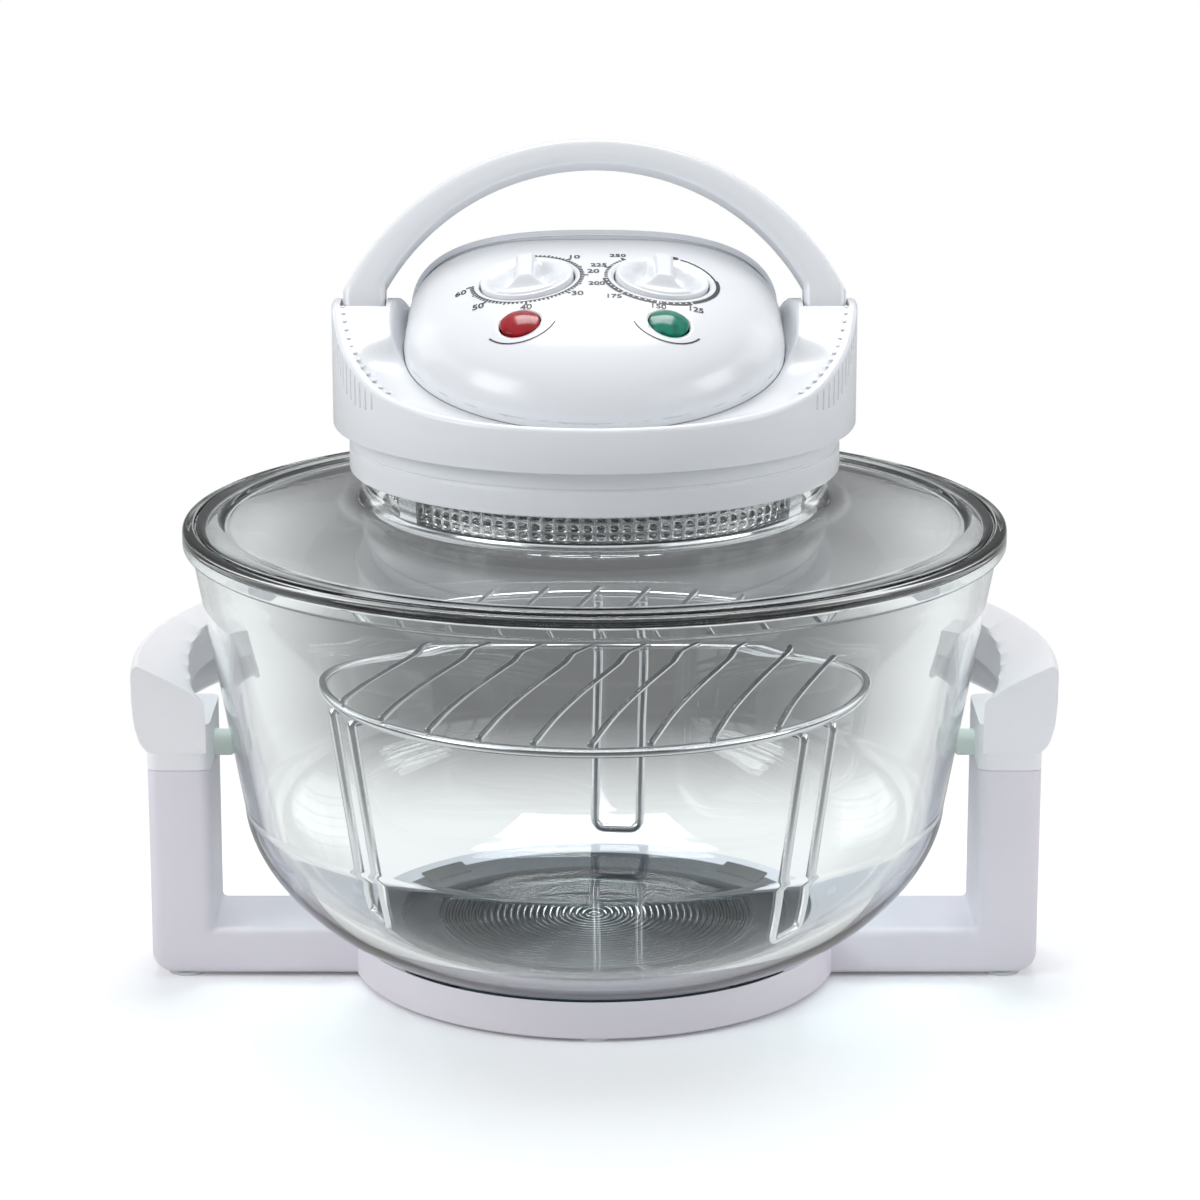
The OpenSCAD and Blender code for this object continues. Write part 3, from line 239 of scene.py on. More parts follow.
def skin(name, grids, material, body, replaces=(), thick=0):
    """A piece from grids of points, rows by columns, in mm: every cell is a quad."""
    points, quads, start = [], [], 0
    for grid in grids:
        grid = np.asarray(grid, float)
        rows, columns = grid.shape[-3:-1]
        index = start + np.arange(grid.size // 3).reshape(-1, rows, columns)
        quads.append(np.stack([index[:, :-1, :-1], index[:, 1:, :-1],
                               index[:, 1:, 1:], index[:, :-1, 1:]], -1).reshape(-1, 4))
        points.append(grid.reshape(-1, 3))
        start += grid.size // 3
    return piece(name, np.concatenate(points), np.concatenate(quads).tolist(), material, body,
                 replaces, thick)


def piece(name, points, faces, material, body, replaces=(), thick=0):
    """A mesh in mm on its body: points that meet are merged, faces are turned outwards, creases
    sharper than 38 degrees are kept, and an open sheet gets a wall as thick as thick says."""
    mesh = bpy.data.meshes.new(name)
    mesh.from_pydata(points * MM, [], faces)
    work = bmesh.new()
    work.from_mesh(mesh)
    bmesh.ops.remove_doubles(work, verts=work.verts, dist=2e-6)
    bmesh.ops.dissolve_degenerate(work, edges=work.edges, dist=1e-7)
    bmesh.ops.recalc_face_normals(work, faces=work.faces)
    work.to_mesh(mesh)
    work.free()
    mesh.shade_smooth()
    mesh.set_sharp_from_angle(angle=crease)
    mesh.materials.append(material)
    made = show(name, mesh)
    if thick:
        wall = made.modifiers.new("wall", "SOLIDIFY")
        wall.thickness, wall.offset = thick * MM, -1
    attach(made, body)
    if replaces:
        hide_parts(*replaces)
    return made


def around(radius, angle, height):
    """Points at this radius, angle and height about the Z axis."""
    return np.stack(np.broadcast_arrays(radius * np.cos(angle), radius * np.sin(angle), height), -1)


def turned(profile, count=192):
    """A profile of radius and height carried round the Z axis."""
    profile = np.asarray(profile, float)
    angle = np.radians(np.linspace(0, 360, count + 1))
    return around(profile[:, 0, None], angle, profile[:, 1, None])


def softened(points, reach, steps=5, closed=False):
    """Rounds the corners of a line, open or closed: each gives way to a parabola from a point before
    it on one side to a point after it on the other, reach mm away but never past a side's middle."""
    corner = np.asarray(points, float)
    reach = np.broadcast_to(np.asarray(reach, float), len(corner)).copy()
    if not closed:
        reach[[0, -1]] = 0
    before, after = np.roll(corner, 1, 0) - corner, np.roll(corner, -1, 0) - corner
    long_before, long_after = (np.maximum(np.linalg.norm(side, axis=1), 1e-9) for side in (before, after))
    near = np.minimum(reach, 0.49 * np.minimum(long_before, long_after))
    enter = corner + before * (near / long_before)[:, None]
    leave = corner + after * (near / long_after)[:, None]
    t = np.linspace(0, 1, steps + 1)[None, :, None]
    curve = (1 - t) ** 2 * enter[:, None] + 2 * t * (1 - t) * corner[:, None] + t * t * leave[:, None]
    curve = curve.reshape(-1, corner.shape[1])
    return np.concatenate([curve, curve[:1]]) if closed else curve


def under_bowl(r):
    """Height of the bowl's underside at radius r: flat, then a quarter of a flattened oval."""
    s = np.clip((r - bowl_flat_r) / (bowl_foot_r - bowl_flat_r), 0, 1)
    return foot_z - (foot_z - bowl_base_z) * (1 - s ** foot_power) ** (1 / foot_power)


# Satin plastic has a fine orange-peel skin and soft clouding of its gloss.
satin = dict(clouds=(9, 2), gloss=(0.33, 0.1, 40, 3), grain=(900, 2), depth=0.00005, strength=0.35, lumps=0.5)
lilac_satin = mottled((0.74, 0.698, 0.762, 1), (0.78, 0.743, 0.805, 1), **satin)


def shelf_paint_with_painted_shade(start):
    """The lilac moulding, with painted shade on the shelf inside 95 mm: a near-black band, like the plate's
    enamel, that widens the dark disc seen through the bowl's floor.
    """
    x, y, z = start.point().split()
    paint = lilac_satin(start)
    # Painted shade: inside 95 mm and above the groove, the shelf's colour turns near black for the shade
    # under the bowl's floor.
    shelf = 1 - ((x * x + y * y) ** 0.5).step(0.0946, 0.0954)
    inner = shelf * z.step(0.0045, 0.006)
    paint["Base Color"] = inner.blend(paint["Base Color"], (0.016, 0.027, 0.040, 1))
    return paint


pale_plastic = finish("pale_plastic", lilac_satin, Specular_IOR_Level=0.45)
shelf_plastic_painted_shade = finish("shelf_plastic_painted_shade", shelf_paint_with_painted_shade, Specular_IOR_Level=0.25)
shelf_r = np.linspace(ring_r - 1, ring_in_r, 8)
ring_profile = np.concatenate([
    softened([(ring_in_r, ring_low_z), (ring_r, ring_low_z), (ring_r, ring_top_z - 0.6)], [0.4, 1.2, 0]),
    softened(np.stack([np.r_[ring_r, shelf_r], np.r_[ring_top_z - 0.5, under_bowl(shelf_r) - 1.1]], -1), 0.8),
    [(ring_in_r, plate_z + plate_t + 0.3), (ring_in_r + 3, plate_z + plate_t + 0.3),
     (ring_in_r + 3, plate_z), (ring_in_r, plate_z), (ring_in_r, ring_low_z)]])
skin("stand_ring", [turned(ring_profile)], shelf_plastic_painted_shade, "stand", ["base_ring"])

# Arms: two L-shaped mouldings that run out from the ring and rise to carry the grips. Their edges
# are rounded; each is drawn as a solid bar, though the moulding is hollow below so that it cools without
# sinking.

arm_d, arm_top_z, arm_soft, post_in_x, post_out_x, seam_z, heel_r = 48, 21, 0.2, 157.5, 183.5, 89.5, 9


def bar(outer_line, inner_line, half_depth, soft):
    """A bar between two matched lines in X and Z: a rectangle with its corners rounded, soft giving
    how far as a share of its sides, spans each pair of points and reaches half_depth both ways in Y."""
    section = softened([(0, -1), (1, -1), (1, 1), (0, 1)], soft, 6, closed=True)
    p, q = section[:, 0, None], section[:, 1, None]
    x, z = (inner_line[None, :, i] + (outer_line - inner_line)[None, :, i] * p for i in (0, 1))
    return np.stack([x, half_depth * q + 0 * x, z], -1)


def capped(rows):
    """Closes both ends of a swept section with a fan to its middle."""
    first, last = (rows[:, i].mean(0) for i in (0, -1))
    return np.concatenate([np.broadcast_to(first, rows[:, :1].shape), rows,
                           np.broadcast_to(last, rows[:, :1].shape)], 1)


heel_a = np.radians(np.linspace(-90, 0, 9))
root_x, root_z = np.linspace(97, 106, 5), np.linspace(16, arm_top_z, 5)
arm_outer = np.concatenate([
    np.stack([root_x, np.full(5, ring_low_z)], -1),
    np.stack([post_out_x - heel_r + heel_r * np.cos(heel_a),
              ring_low_z + heel_r + heel_r * np.sin(heel_a)], -1),
    [(post_out_x, arm_top_z + 4), (post_out_x, seam_z - 0.1)]])
arm_inner = np.concatenate([
    np.stack([root_x, root_z], -1),
    softened([(150, arm_top_z), (post_in_x, arm_top_z), (post_in_x, arm_top_z + 6)], [0, 2.5, 0], 8)[9:18],
    [(post_in_x, arm_top_z + 4), (post_in_x, seam_z - 0.1)]])
for side_name, sign in (("right", 1), ("left", -1)):
    skin(side_name + "_stand_arm", [capped(bar(arm_outer, arm_inner, arm_d / 2, arm_soft)) * [sign, 1, 1]],
         pale_plastic, "stand", [side_name + "_arm"])

# Grips: a thin shell swept back round the bowl on each side, with a rolled top and a sloping lip,
# closed at its front and back ends, on a block that is screwed down on the post.

grip_sweep, end_wall, end_wall_out = 30, 0.028, 3.5
lip_cut_x, lip_cut_y, lip_cut_r = 29.5, 30, 140.5

# Glossy white plastic is cool in tone, with a barely uneven skin and faint clouding of its gloss.
gloss_white = mottled((0.80, 0.825, 0.86, 1), (0.84, 0.86, 0.89, 1), (7, 2), (0.16, 0.1, 30, 3), (260, 2),
                      0.00006, 0.3, lumps=1)
white_plastic = finish("white_plastic", gloss_white, Specular_IOR_Level=0.5)
# Painted light: the grips take the stand's satin in a lighter, more neutral tone than the posts, for the
# light that falls on them up high.
grip_plastic_painted_light = finish("grip_plastic_painted_light", mottled((0.82, 0.81, 0.84, 1), (0.86, 0.85, 0.88, 1), **satin),
                      Specular_IOR_Level=0.5)
shell_section = softened([
    (184, 97), (187.3, 100.5), (189.6, 108), (190.5, 118), (190.5, 130.5), (189.6, 133.1), (188, 134),
    (172, 126), (159.5, 117.5), (157, 114.5), (157, 111.5), (172.5, 122.4), (186, 129.8),
    (187.5, 128), (187.5, 118), (186.6, 108.5), (184.5, 102), (182, 99)],
    [1.2, 3, 5, 6, 1.5, 1.2, 4, 6, 2, 1.5, 1, 6, 2, 2, 5, 4, 3, 0.8], 4, closed=True)
solid_section = softened([
    (155.8, 97), (184, 97), (187.3, 100.5), (189.6, 108), (190.5, 118), (190.5, 130.5), (188, 134),
    (172, 126), (159.5, 117.5), (155.8, 112)], [1, 2, 3, 5, 6, 2, 2, 6, 3, 1], 4, closed=True)
grip_turns = np.linspace(0, 1, 49)


def swept_grip(section, start, end):
    """A section carried round Z from the flat front, where Y is -24, to the swept end, as shares of
    that arc; nothing comes nearer to the bowl than the lip's own circle, off centre."""
    r, z = section[:, 0, None], section[:, 1, None]
    share = start + (end - start) * grip_turns[None]
    front = -np.arcsin(arm_d / 2 / r)
    angle = front + (np.radians(grip_sweep) - front) * share
    along = lip_cut_x * np.cos(angle) + lip_cut_y * np.sin(angle)
    nearest = along + np.sqrt(lip_cut_r ** 2 - lip_cut_x ** 2 - lip_cut_y ** 2 + along ** 2)
    r = np.maximum(r, nearest)
    return around(r, angle, z)


block_z = np.array([[seam_z + 0.1], [100], [109]])
block = capped(bar(np.insert(block_z, 0, post_out_x, 1), np.insert(block_z, 0, post_in_x, 1), arm_d / 2,
                   arm_soft))
for side_name, sign in (("right", 1), ("left", -1)):
    grids = (swept_grip(shell_section, 0, 1), swept_grip(solid_section, 0, end_wall),
             swept_grip(solid_section + [end_wall_out, 0], 1 - end_wall, 1))
    skin(side_name + "_side_grip", [g * [sign, 1, 1] for g in [*map(capped, grids), block]],
         grip_plastic_painted_light, "stand", [side_name + "_grip"])

# Small stand parts: silicone pegs that steady the bowl, black rubber pads under its foot, six pale
# rubber feet and the screws up through the posts. The pegs are turned, and plug into the posts.

peg_tip_x, peg_z, peg_r = 149.6, 95, 5.5

# Rubber is matt, in soft clouds under a fine dry grain.
rubber = dict(clouds=(60, 4), gloss=(0.62, 0.2, 200, 2), grain=(1200, 2), depth=0.00006, strength=0.5)
silicone = finish("silicone", mottled((0.62, 0.66, 0.65, 1), (0.70, 0.73, 0.72, 1), **rubber))
peg_silicone = finish("peg_silicone", mottled((0.66, 0.74, 0.69, 1), (0.76, 0.82, 0.77, 1), **rubber))
black_rubber = finish("black_rubber", mottled((0.018, 0.018, 0.02, 1), (0.035, 0.035, 0.038, 1), **rubber),
                      Specular_IOR_Level=0.2)


def steel(colour, fine=700, rough=0.28):
    """Plated steel: a bright metal whose gloss is broken by fine marks and slight clouding."""
    return mottled(colour, tuple(0.86 * c for c in colour[:3]) + (1,), (25, 3), (rough, 0.18, fine, 4),
                   (fine, 4), 0.00003, 0.3)


fastener_steel = finish("fastener_steel", steel((0.62, 0.61, 0.58, 1)), Metallic=1)
peg_profile = softened([(0, 0), (peg_r, 0), (peg_r, 8.6), (2.4, 8.6), (2.4, 15), (0, 15)],
                       [0, 1.6, 0.3, 0.3, 0.5, 0])
peg = turned(peg_profile, 40)[..., [2, 1, 0]] * [1, 1, -1] + [peg_tip_x, 0, peg_z]
skin("silicone_pegs", [peg, peg * [-1, 1, 1]], peg_silicone, "stand", ["bumper_pegs"])


def dress(material, *nodes):
    """Gives CAD nodes that are shown as they are their finish."""
    for node in nodes:
        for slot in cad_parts[node].material_slots:
            slot.material = material


dress(black_rubber, "bowl_pads")
dress(silicone, "rubber_feet")
dress(fastener_steel, "stand_screws")

# Heat plate: a pressed steel disc in dark enamel, its near-black also painted shade under the bowl's floor,
# caught in the ring's groove below the bowl. It reflects the lamp's heat, and three low rings stiffen it.


def enamel_and_painted_shade(start):
    """Blue-black enamel, its near-black partly painted shade: speckled, slightly clouded, with fine turned
    rings in its gloss.
    """
    point = start.point()
    x, y, z = point.split()
    rings = start.maths("SINE", (x * x + y * y) ** 0.5 * 2600)
    speck = point.noise(1500, 2).step(0.62, 0.72)
    # Painted shade: the plate's near-black base colour also stands in for the shade under the bowl's floor.
    return {"Base Color": (0.6 * point.noise(14, 4) + 0.4 * speck).blend(
                (0.006, 0.012, 0.020, 1), (0.022, 0.036, 0.052, 1)),
            "Roughness": 0.3 + 0.06 * rings + 0.1 * point.noise(90, 3),
            "Normal": rings.bump(0.00005, 0.4)}


dark_enamel = finish("dark_enamel", enamel_and_painted_shade, Specular_IOR_Level=0.05)
plate_r, ring_places = 86.9, (60, 40, 20)
plate_rise = [(r + d, plate_z + plate_t + h)
              for r in ring_places for d, h in ((2.2, 0), (1.4, 0.6), (0.2, 0.6), (-0.6, 0))]
plate_profile = softened([(0, plate_z), (plate_r, plate_z), (plate_r, plate_z + plate_t)] + plate_rise +
                         [(0, plate_z + plate_t)], 0.35, 3)
skin("enamel_plate", [turned(plate_profile)], dark_enamel, "stand", ["heat_plate"])

# Glass bowl: pressed heatproof glass with a rolled lip, a ledge for the lid and a rounded foot.
# The mould leaves fine rings in the underside of its floor, which break up the dark plate below.

bowl_lip_r, bowl_top_z, bowl_wall, bowl_floor = 168, 191, 5, 6
throat_r, throat_z, ledge_r, ledge_z, mouth_r, lip_under_z = 160.5, 160, 163, 186.5, 158, 182.5
ripple_pitch, ripple_depth, ripple_end = 2.8, 0.3, 69
glass_depth, glass_density = (0.35, 0.62, 0.66, 1), 7


def foot_curve(r0, r1, z0, z1):
    """The quarter oval of the bowl's foot, whose axes run from r0 to r1 and from z0 to z1."""
    a = np.radians(np.linspace(0, 90, 40))
    return np.stack([r0 + (r1 - r0) * np.sin(a) ** (2 / foot_power),
                     z1 - (z1 - z0) * np.cos(a) ** (2 / foot_power)], -1)


def glass(name, tint):
    """Clear glass that lamps shine through: Principled for what is seen and Transparent for shadow
    rays. A faint haze dulls it in patches, and a weak absorption gives thick edges their blue-green."""
    material = finish(name, lambda start: {"Roughness": 0.015 * start.point().noise(20, 3)},
                      Transmission_Weight=1, IOR=1.47, Base_Color=tint)
    tree = material.node_tree
    begin, output = Socket(tree), tree.nodes["Material Output"]
    shader = Socket(tree, tree.nodes["Principled BSDF"].outputs[0])
    shadow = begin.make("LightPath", out="Is Shadow Ray")
    shade = begin.make("BsdfTransparent", inputs={"Color": (0.93, 0.96, 0.96, 1)})
    tree.links.new(begin.make("MixShader", inputs={0: shadow, 1: shader, 2: shade}).link,
                   output.inputs["Surface"])
    depth = begin.make("VolumeAbsorption", inputs={"Color": glass_depth, "Density": glass_density})
    tree.links.new(depth.link, output.inputs["Volume"])
    return material


bowl_glass = glass("bowl_glass", (0.985, 0.995, 0.995, 1))
ripple_r = np.arange(0, ripple_end, ripple_pitch / 8)
ripple = np.stack([ripple_r, bowl_base_z + ripple_depth * (1 - np.cos(2 * np.pi * ripple_r / ripple_pitch))
                   * np.clip((ripple_end - ripple_r) / 6, 0, 1)], -1)
bowl_profile = np.concatenate([
    ripple, foot_curve(bowl_flat_r, bowl_foot_r, bowl_base_z, foot_z),
    softened([(bowl_foot_r + 0.2, foot_z + 1), (throat_r, throat_z), (164, 178.5), (164.9, lip_under_z - 0.2),
              (bowl_lip_r, lip_under_z), (bowl_lip_r, bowl_top_z), (ledge_r, bowl_top_z), (ledge_r, ledge_z),
              (mouth_r, ledge_z), (throat_r - bowl_wall, throat_z),
              (bowl_foot_r - bowl_wall + 0.2, foot_z + 2)],
             [0, 12, 4, 1.5, 2.6, 3.2, 1.2, 0.6, 1.8, 12, 0], 7),
    foot_curve(bowl_flat_r - 2, bowl_foot_r - bowl_wall, bowl_base_z + bowl_floor, foot_z + 1)[::-1],
    [(40, bowl_base_z + bowl_floor), (0, bowl_base_z + bowl_floor)]])
skin("pressed_glass_bowl", [turned(bowl_profile)], bowl_glass, "bowl", ["glass_bowl"])

# Wire rack: a chromed ring with nine bars welded across it and three wire legs bent to a square U,
# whose feet stand on the bowl's sloping floor. The bars' ends are left a little proud of the ring.

rack_r, rack_z, wire_r, bar_r, bar_count, rack_pitch, rack_turn = 112, 124, 2, 1.4, 9, 22, -12


def wire(path, radius, sides=12):
    """A round wire along a line of points: a circle square to the line at each, closed at both ends
    by a low cone."""
    path = np.asarray(path, float)
    ahead = np.gradient(path, axis=0)
    ahead /= np.linalg.norm(ahead, axis=1)[:, None]
    level = np.abs(ahead[:, 2]).max() < 0.9
    out = np.cross(ahead, (0.123, 0.077, 0.99) if level else (0.31, 0.94, 0.11))
    out /= np.linalg.norm(out, axis=1)[:, None]
    other = np.cross(ahead, out)
    a = np.linspace(0, 2 * np.pi, sides + 1)[None, :, None]
    tube = path[:, None] + radius * (np.cos(a) * out[:, None] + np.sin(a) * other[:, None])
    tips = path[[0, -1]] + ahead[[0, -1]] * [[-1], [1]] * radius * 0.4
    ends = tips[:, None] + 0 * tube[:1]
    return np.concatenate([ends[:1], tube, ends[1:]])


def tidied(line):
    """The line without the points that repeat the one before."""
    return line[np.r_[True, np.linalg.norm(np.diff(line, axis=0), axis=1) > 1e-3]]


def spun(grid, degrees):
    """The grid turned about the Z axis."""
    c, s = np.cos(np.radians(degrees)), np.sin(np.radians(degrees))
    return grid @ np.array([[c, s, 0], [-s, c, 0], [0, 0, 1]])


def ringed(radius, height, thick, count=160, sides=16):
    """A round ring of wire about the Z axis."""
    a = np.linspace(0, 2 * np.pi, sides + 1)
    return turned(np.stack([radius + thick * np.cos(a), height + thick * np.sin(a)], -1), count)


chrome_wire = finish("chrome_wire", steel((0.80, 0.81, 0.82, 1), 900, 0.07), Metallic=1)
skin("rack_hoop", [ringed(rack_r, rack_z, wire_r)], chrome_wire, "rack", ["rack_ring"])
bars = []
for place in (np.arange(bar_count) - bar_count // 2) * rack_pitch:
    half = np.sqrt((rack_r + 1.2) ** 2 - place ** 2)
    along = np.linspace(-half, half, 24)
    height = rack_z + wire_r + bar_r * 0.9 + 0 * along
    bars.append(spun(wire(np.stack([place + 0 * along, along, height], -1), bar_r, 10), rack_turn))
skin("rack_cross_bars", bars, chrome_wire, "rack", ["rack_bars"])
leg_foot_r, leg_foot_z, leg_half_w, leg_turns = 98, 27.38, 10, (-38, 84, 206)
leg_in, leg_top = (106, leg_half_w, 121.4), (112.5, leg_half_w, 121)
half_leg = np.array([leg_in, leg_top, (leg_foot_r, leg_half_w, leg_foot_z)])
leg_path = softened(np.concatenate([half_leg, half_leg[::-1] * [1, -1, 1]]), 5, 8)
skin("rack_wire_legs", [spun(wire(tidied(leg_path), wire_r), turn) for turn in leg_turns], chrome_wire,
     "rack", ["rack_legs"])

# Glass lid: a second pressing whose edge drops into the bowl's ledge. It rises in a shallow cone
# to the neck that carries the heater head.

lid_r, lid_low_z, lid_edge_t, lid_wall = 162.4, 186.8, 5, 4
neck_r, neck_top_z, shoulder_z = 93, 222, 200
lid_glass = glass("lid_glass", (0.99, 0.995, 0.995, 1))
lid_profile = softened([
    (152.9, lid_low_z), (lid_r, lid_low_z), (lid_r, lid_low_z + lid_edge_t), (152.9, lid_low_z + lid_edge_t),
    (149.9, 190.6), (neck_r + 7, shoulder_z), (neck_r, shoulder_z + 3.5), (neck_r, neck_top_z),
    (neck_r - lid_wall, neck_top_z), (neck_r - lid_wall, shoulder_z), (neck_r + 7, shoulder_z - lid_wall),
    (149.9, 186.6)], [0.8, 1.6, 1.6, 1.5, 1.5, 5, 5, 1, 1, 5, 5, 1], 7, closed=True)
skin("pressed_glass_lid", [turned(lid_profile)], lid_glass, "head", ["glass_lid"])

# Neck: a silicone gasket on the glass and a deep plastic ring over it, with one fine groove.
# Three sprung strips inside hold the heater's guard.

collar_low_z, neck_ring_r = 231.5, 99.6
ring_section = softened([
    (94, 213), (neck_ring_r, 213), (neck_ring_r, 223), (98.7, 223.5), (98.7, 224.1), (neck_ring_r, 224.6),
    (neck_ring_r, collar_low_z), (80, collar_low_z), (80, 225.5), (94, 225.5)],
    [0.6, 1.2, 0.4, 0.2, 0.2, 0.4, 0.5, 0.5, 0.5, 0.5], closed=True)
skin("neck_band", [turned(ring_section)], white_plastic, "head", ["neck_ring"])
dress(silicone, "neck_gasket")
bright_steel = finish("bright_steel", steel((0.78, 0.79, 0.80, 1), 500, 0.16), Metallic=1)
dress(bright_steel, "neck_clips")

# Heater tray: a spun reflector pan, the halogen lamp in its two ceramic sockets, and a punched
# guard below it, finished by a chromed rim of round wire.

guard_r, guard_low_z, pan_z, guard_t, hoop_r, hoop_z, hoop_wire_r = 84, 192, 214.5, 0.6, 86.4, 196.5, 2.3
guard_rows, guard_columns, hole_share, band_pitch = 4, 104, 0.62, 8

# The reflector is bright aluminium with soft dents and a warm tinge from heat.
reflector = finish("reflector", mottled((0.80, 0.81, 0.82, 1), (0.70, 0.68, 0.63, 1), (18, 3),
                                        (0.14, 0.16, 300, 3), (120, 2), 0.0012, 0.5), Metallic=1)
dress(reflector, "reflector_pan", "heat_shield")


def punched(rows, columns, surface):
    """Cells with a round hole in each: every cell is a ring of quads from its square edge to the
    hole, and surface() takes the row and column, counted in cells, to a point."""
    turn = np.linspace(0, 2 * np.pi, 17)
    edge = np.stack([np.cos(turn), np.sin(turn)], -1)
    square = edge / np.abs(edge).max(1)[:, None] / 2
    ring = np.stack([square, edge * hole_share / 2])[None]
    row, column = np.meshgrid(np.arange(rows), np.arange(columns), indexing="ij")
    middle = np.stack([row.ravel(), column.ravel()], -1)[:, None, None] + 0.5
    cell = middle + ring
    return surface(cell[..., 0], cell[..., 1])


def guard_wall(row, column):
    """Up the wall with the row and round it with the column."""
    return around(guard_r, 2 * np.pi * column / guard_columns,
                  guard_low_z + 1.5 + row / guard_rows * (pan_z - guard_low_z - 3.5))


grids = [punched(guard_rows, guard_columns, guard_wall)]
for band in range(9):
    count = int(2 * np.pi * (12 + band * band_pitch) / band_pitch)
    grids.append(punched(1, count, lambda row, column: around(
        band_pitch + (band + row) * band_pitch, 2 * np.pi * column / count, guard_low_z)))
grids.append(turned(softened([(80, guard_low_z), (guard_r, guard_low_z), (guard_r, guard_low_z + 1.5)],
                             [0, 1.4, 0], 4), guard_columns))
grids.append(turned([(0.5, guard_low_z), (band_pitch, guard_low_z)], 48))
grids.append(turned(softened([(guard_r, pan_z - 2), (guard_r, pan_z), (76, pan_z)], [0, 1, 0], 4),
                    guard_columns))
skin("punched_guard", grids, bright_steel, "head", ["guard"], thick=guard_t)
skin("guard_wire_rim", [ringed(hoop_r, hoop_z, hoop_wire_r, 192, 20)], chrome_wire, "head", ["guard_rim"])
dress(fastener_steel, "guard_screws")


def quartz_tube(start):
    """Frosted quartz round a coiled filament: pale, with fine darker turns along the ring."""
    point = start.point()
    x, y, z = point.split()
    turns = start.maths("SINE", start.maths("ARCTAN2", y, x) * 420)
    return {"Base Color": (0.5 + 0.5 * turns).blend((0.78, 0.78, 0.74, 1), (0.60, 0.59, 0.56, 1)),
            "Roughness": 0.12 + 0.2 * point.noise(200, 2)}


quartz = finish("quartz", quartz_tube, Coat_Weight=0.6, Coat_Roughness=0.05)

# Unglazed ceramic and pressed wool are dry and finely pitted.
fired = dict(clouds=(240, 5), gloss=(0.75, 0.2, 500, 2), grain=(700, 4), depth=0.0003, strength=0.6)
ceramic = finish("ceramic", mottled((0.70, 0.67, 0.60, 1), (0.80, 0.77, 0.70, 1), **fired))
glass_wool = finish("glass_wool", mottled((0.62, 0.55, 0.38, 1), (0.80, 0.74, 0.58, 1), **fired))
dress(quartz, "halogen_lamp")
dress(ceramic, "lamp_sockets", "terminal_block")
dress(bright_steel, "lamp_clips")
dress(glass_wool, "insulation_pad")

# Motor and fans: a small motor on a steel bridge turns one shaft, with a convection fan under the
# pan and a cooling fan over the shield. Its dark plastic has a fine spark-eroded grain.

dark_plastic = finish("dark_plastic", mottled((0.030, 0.031, 0.034, 1), (0.055, 0.056, 0.06, 1), (50, 3),
                                              (0.45, 0.15, 400, 2), (1500, 2), 0.00006, 0.5))
dress(bright_steel, "motor_bracket", "convection_fan", "fan_shaft")
dress(fastener_steel, "motor_screws", "fan_nut", "head_screws")
dress(dark_plastic, "fan_motor", "cooling_fan")

# Head housing: a round collar in glossy white plastic. Its rim climbs to an ear on each side for the
# handle's feet, and a smooth trough runs from the ears down round the front of the panel.

collar_r, crest_r, ear_low_z, pivot_z, collar_t = 106, 104, 252, 266, 3
dome_r, dome_h, dome_power, dome_tilt, dome_y, dome_low = 76, 31, 2.6, np.radians(13), -20, 266
rim_line = np.array([(-130, 249), (-107, 249.3), (-95, 249.8), (-80, 251.4), (-64, 254.4), (-56, 257),
                     (-30, 269), (-19, 276), (-12, 279.8), (-8, 280.6), (8, 280.6), (14, 276.5), (21, 266.5),
                     (30, 262), (56, 256), (80, 252.5), (130, 250)])
table_y = np.arange(-125, 125.1, 0.5)
weights = np.exp(-0.5 * (np.arange(-16, 17) * 0.5 / 2.4) ** 2)
table_z = np.convolve(np.interp(np.arange(-133, 133.1, 0.5), *rim_line.T), weights / weights.sum(), "valid")


def rim_z(y):
    """Height of the collar's rim where it crosses y: the drawn line with its corners eased."""
    return np.interp(y, table_y, table_z)


def smooth(x, low, high):
    """0 below low, 1 above high, an S curve between."""
    t = np.clip((np.asarray(x, float) - low) / (high - low), 0, 1)
    return t * t * (3 - 2 * t)


def on_dome(u, v, h):
    """From the panel's frame, which leans 13 degrees forward about X, to the oven's."""
    c, s = np.cos(dome_tilt), np.sin(dome_tilt)
    u, v, h = np.broadcast_arrays(np.asarray(u, float), v, h)
    return np.stack([u, dome_y + v * c - h * s, dome_low + v * s + h * c], -1)


def evaluated(made):
    """The mesh of an object after its modifiers, or of a text's outlines."""
    return bpy.data.meshes.new_from_object(made.evaluated_get(bpy.context.evaluated_depsgraph_get()))


def carve(made, boxes):
    """Cuts boxes, given by two corners in mm, out of a piece, and keeps the result as its mesh."""
    cutters = []
    for low, high in boxes:
        corners = np.array([[(low, high)[i][0], (low, high)[j][1], (low, high)[k][2]]
                            for i in (0, 1) for j in (0, 1) for k in (0, 1)], float) * MM
        mesh = bpy.data.meshes.new("cut")
        mesh.from_pydata(corners, [], [(0, 1, 3, 2), (4, 6, 7, 5), (0, 4, 5, 1),
                                       (2, 3, 7, 6), (0, 2, 6, 4), (1, 5, 7, 3)])
        cutter = show("cut", mesh)
        cut = made.modifiers.new("cut", "BOOLEAN")
        cut.operation, cut.solver, cut.object = "DIFFERENCE", "EXACT", cutter
        cutters.append(cutter)
    old = made.data
    made.data = evaluated(made)
    made.modifiers.clear()
    for cutter in cutters:
        bpy.data.objects.remove(cutter)
    made.data.shade_smooth()
    made.data.set_sharp_from_angle(angle=crease)
    bpy.data.meshes.remove(old)
    made.data.name = made.name


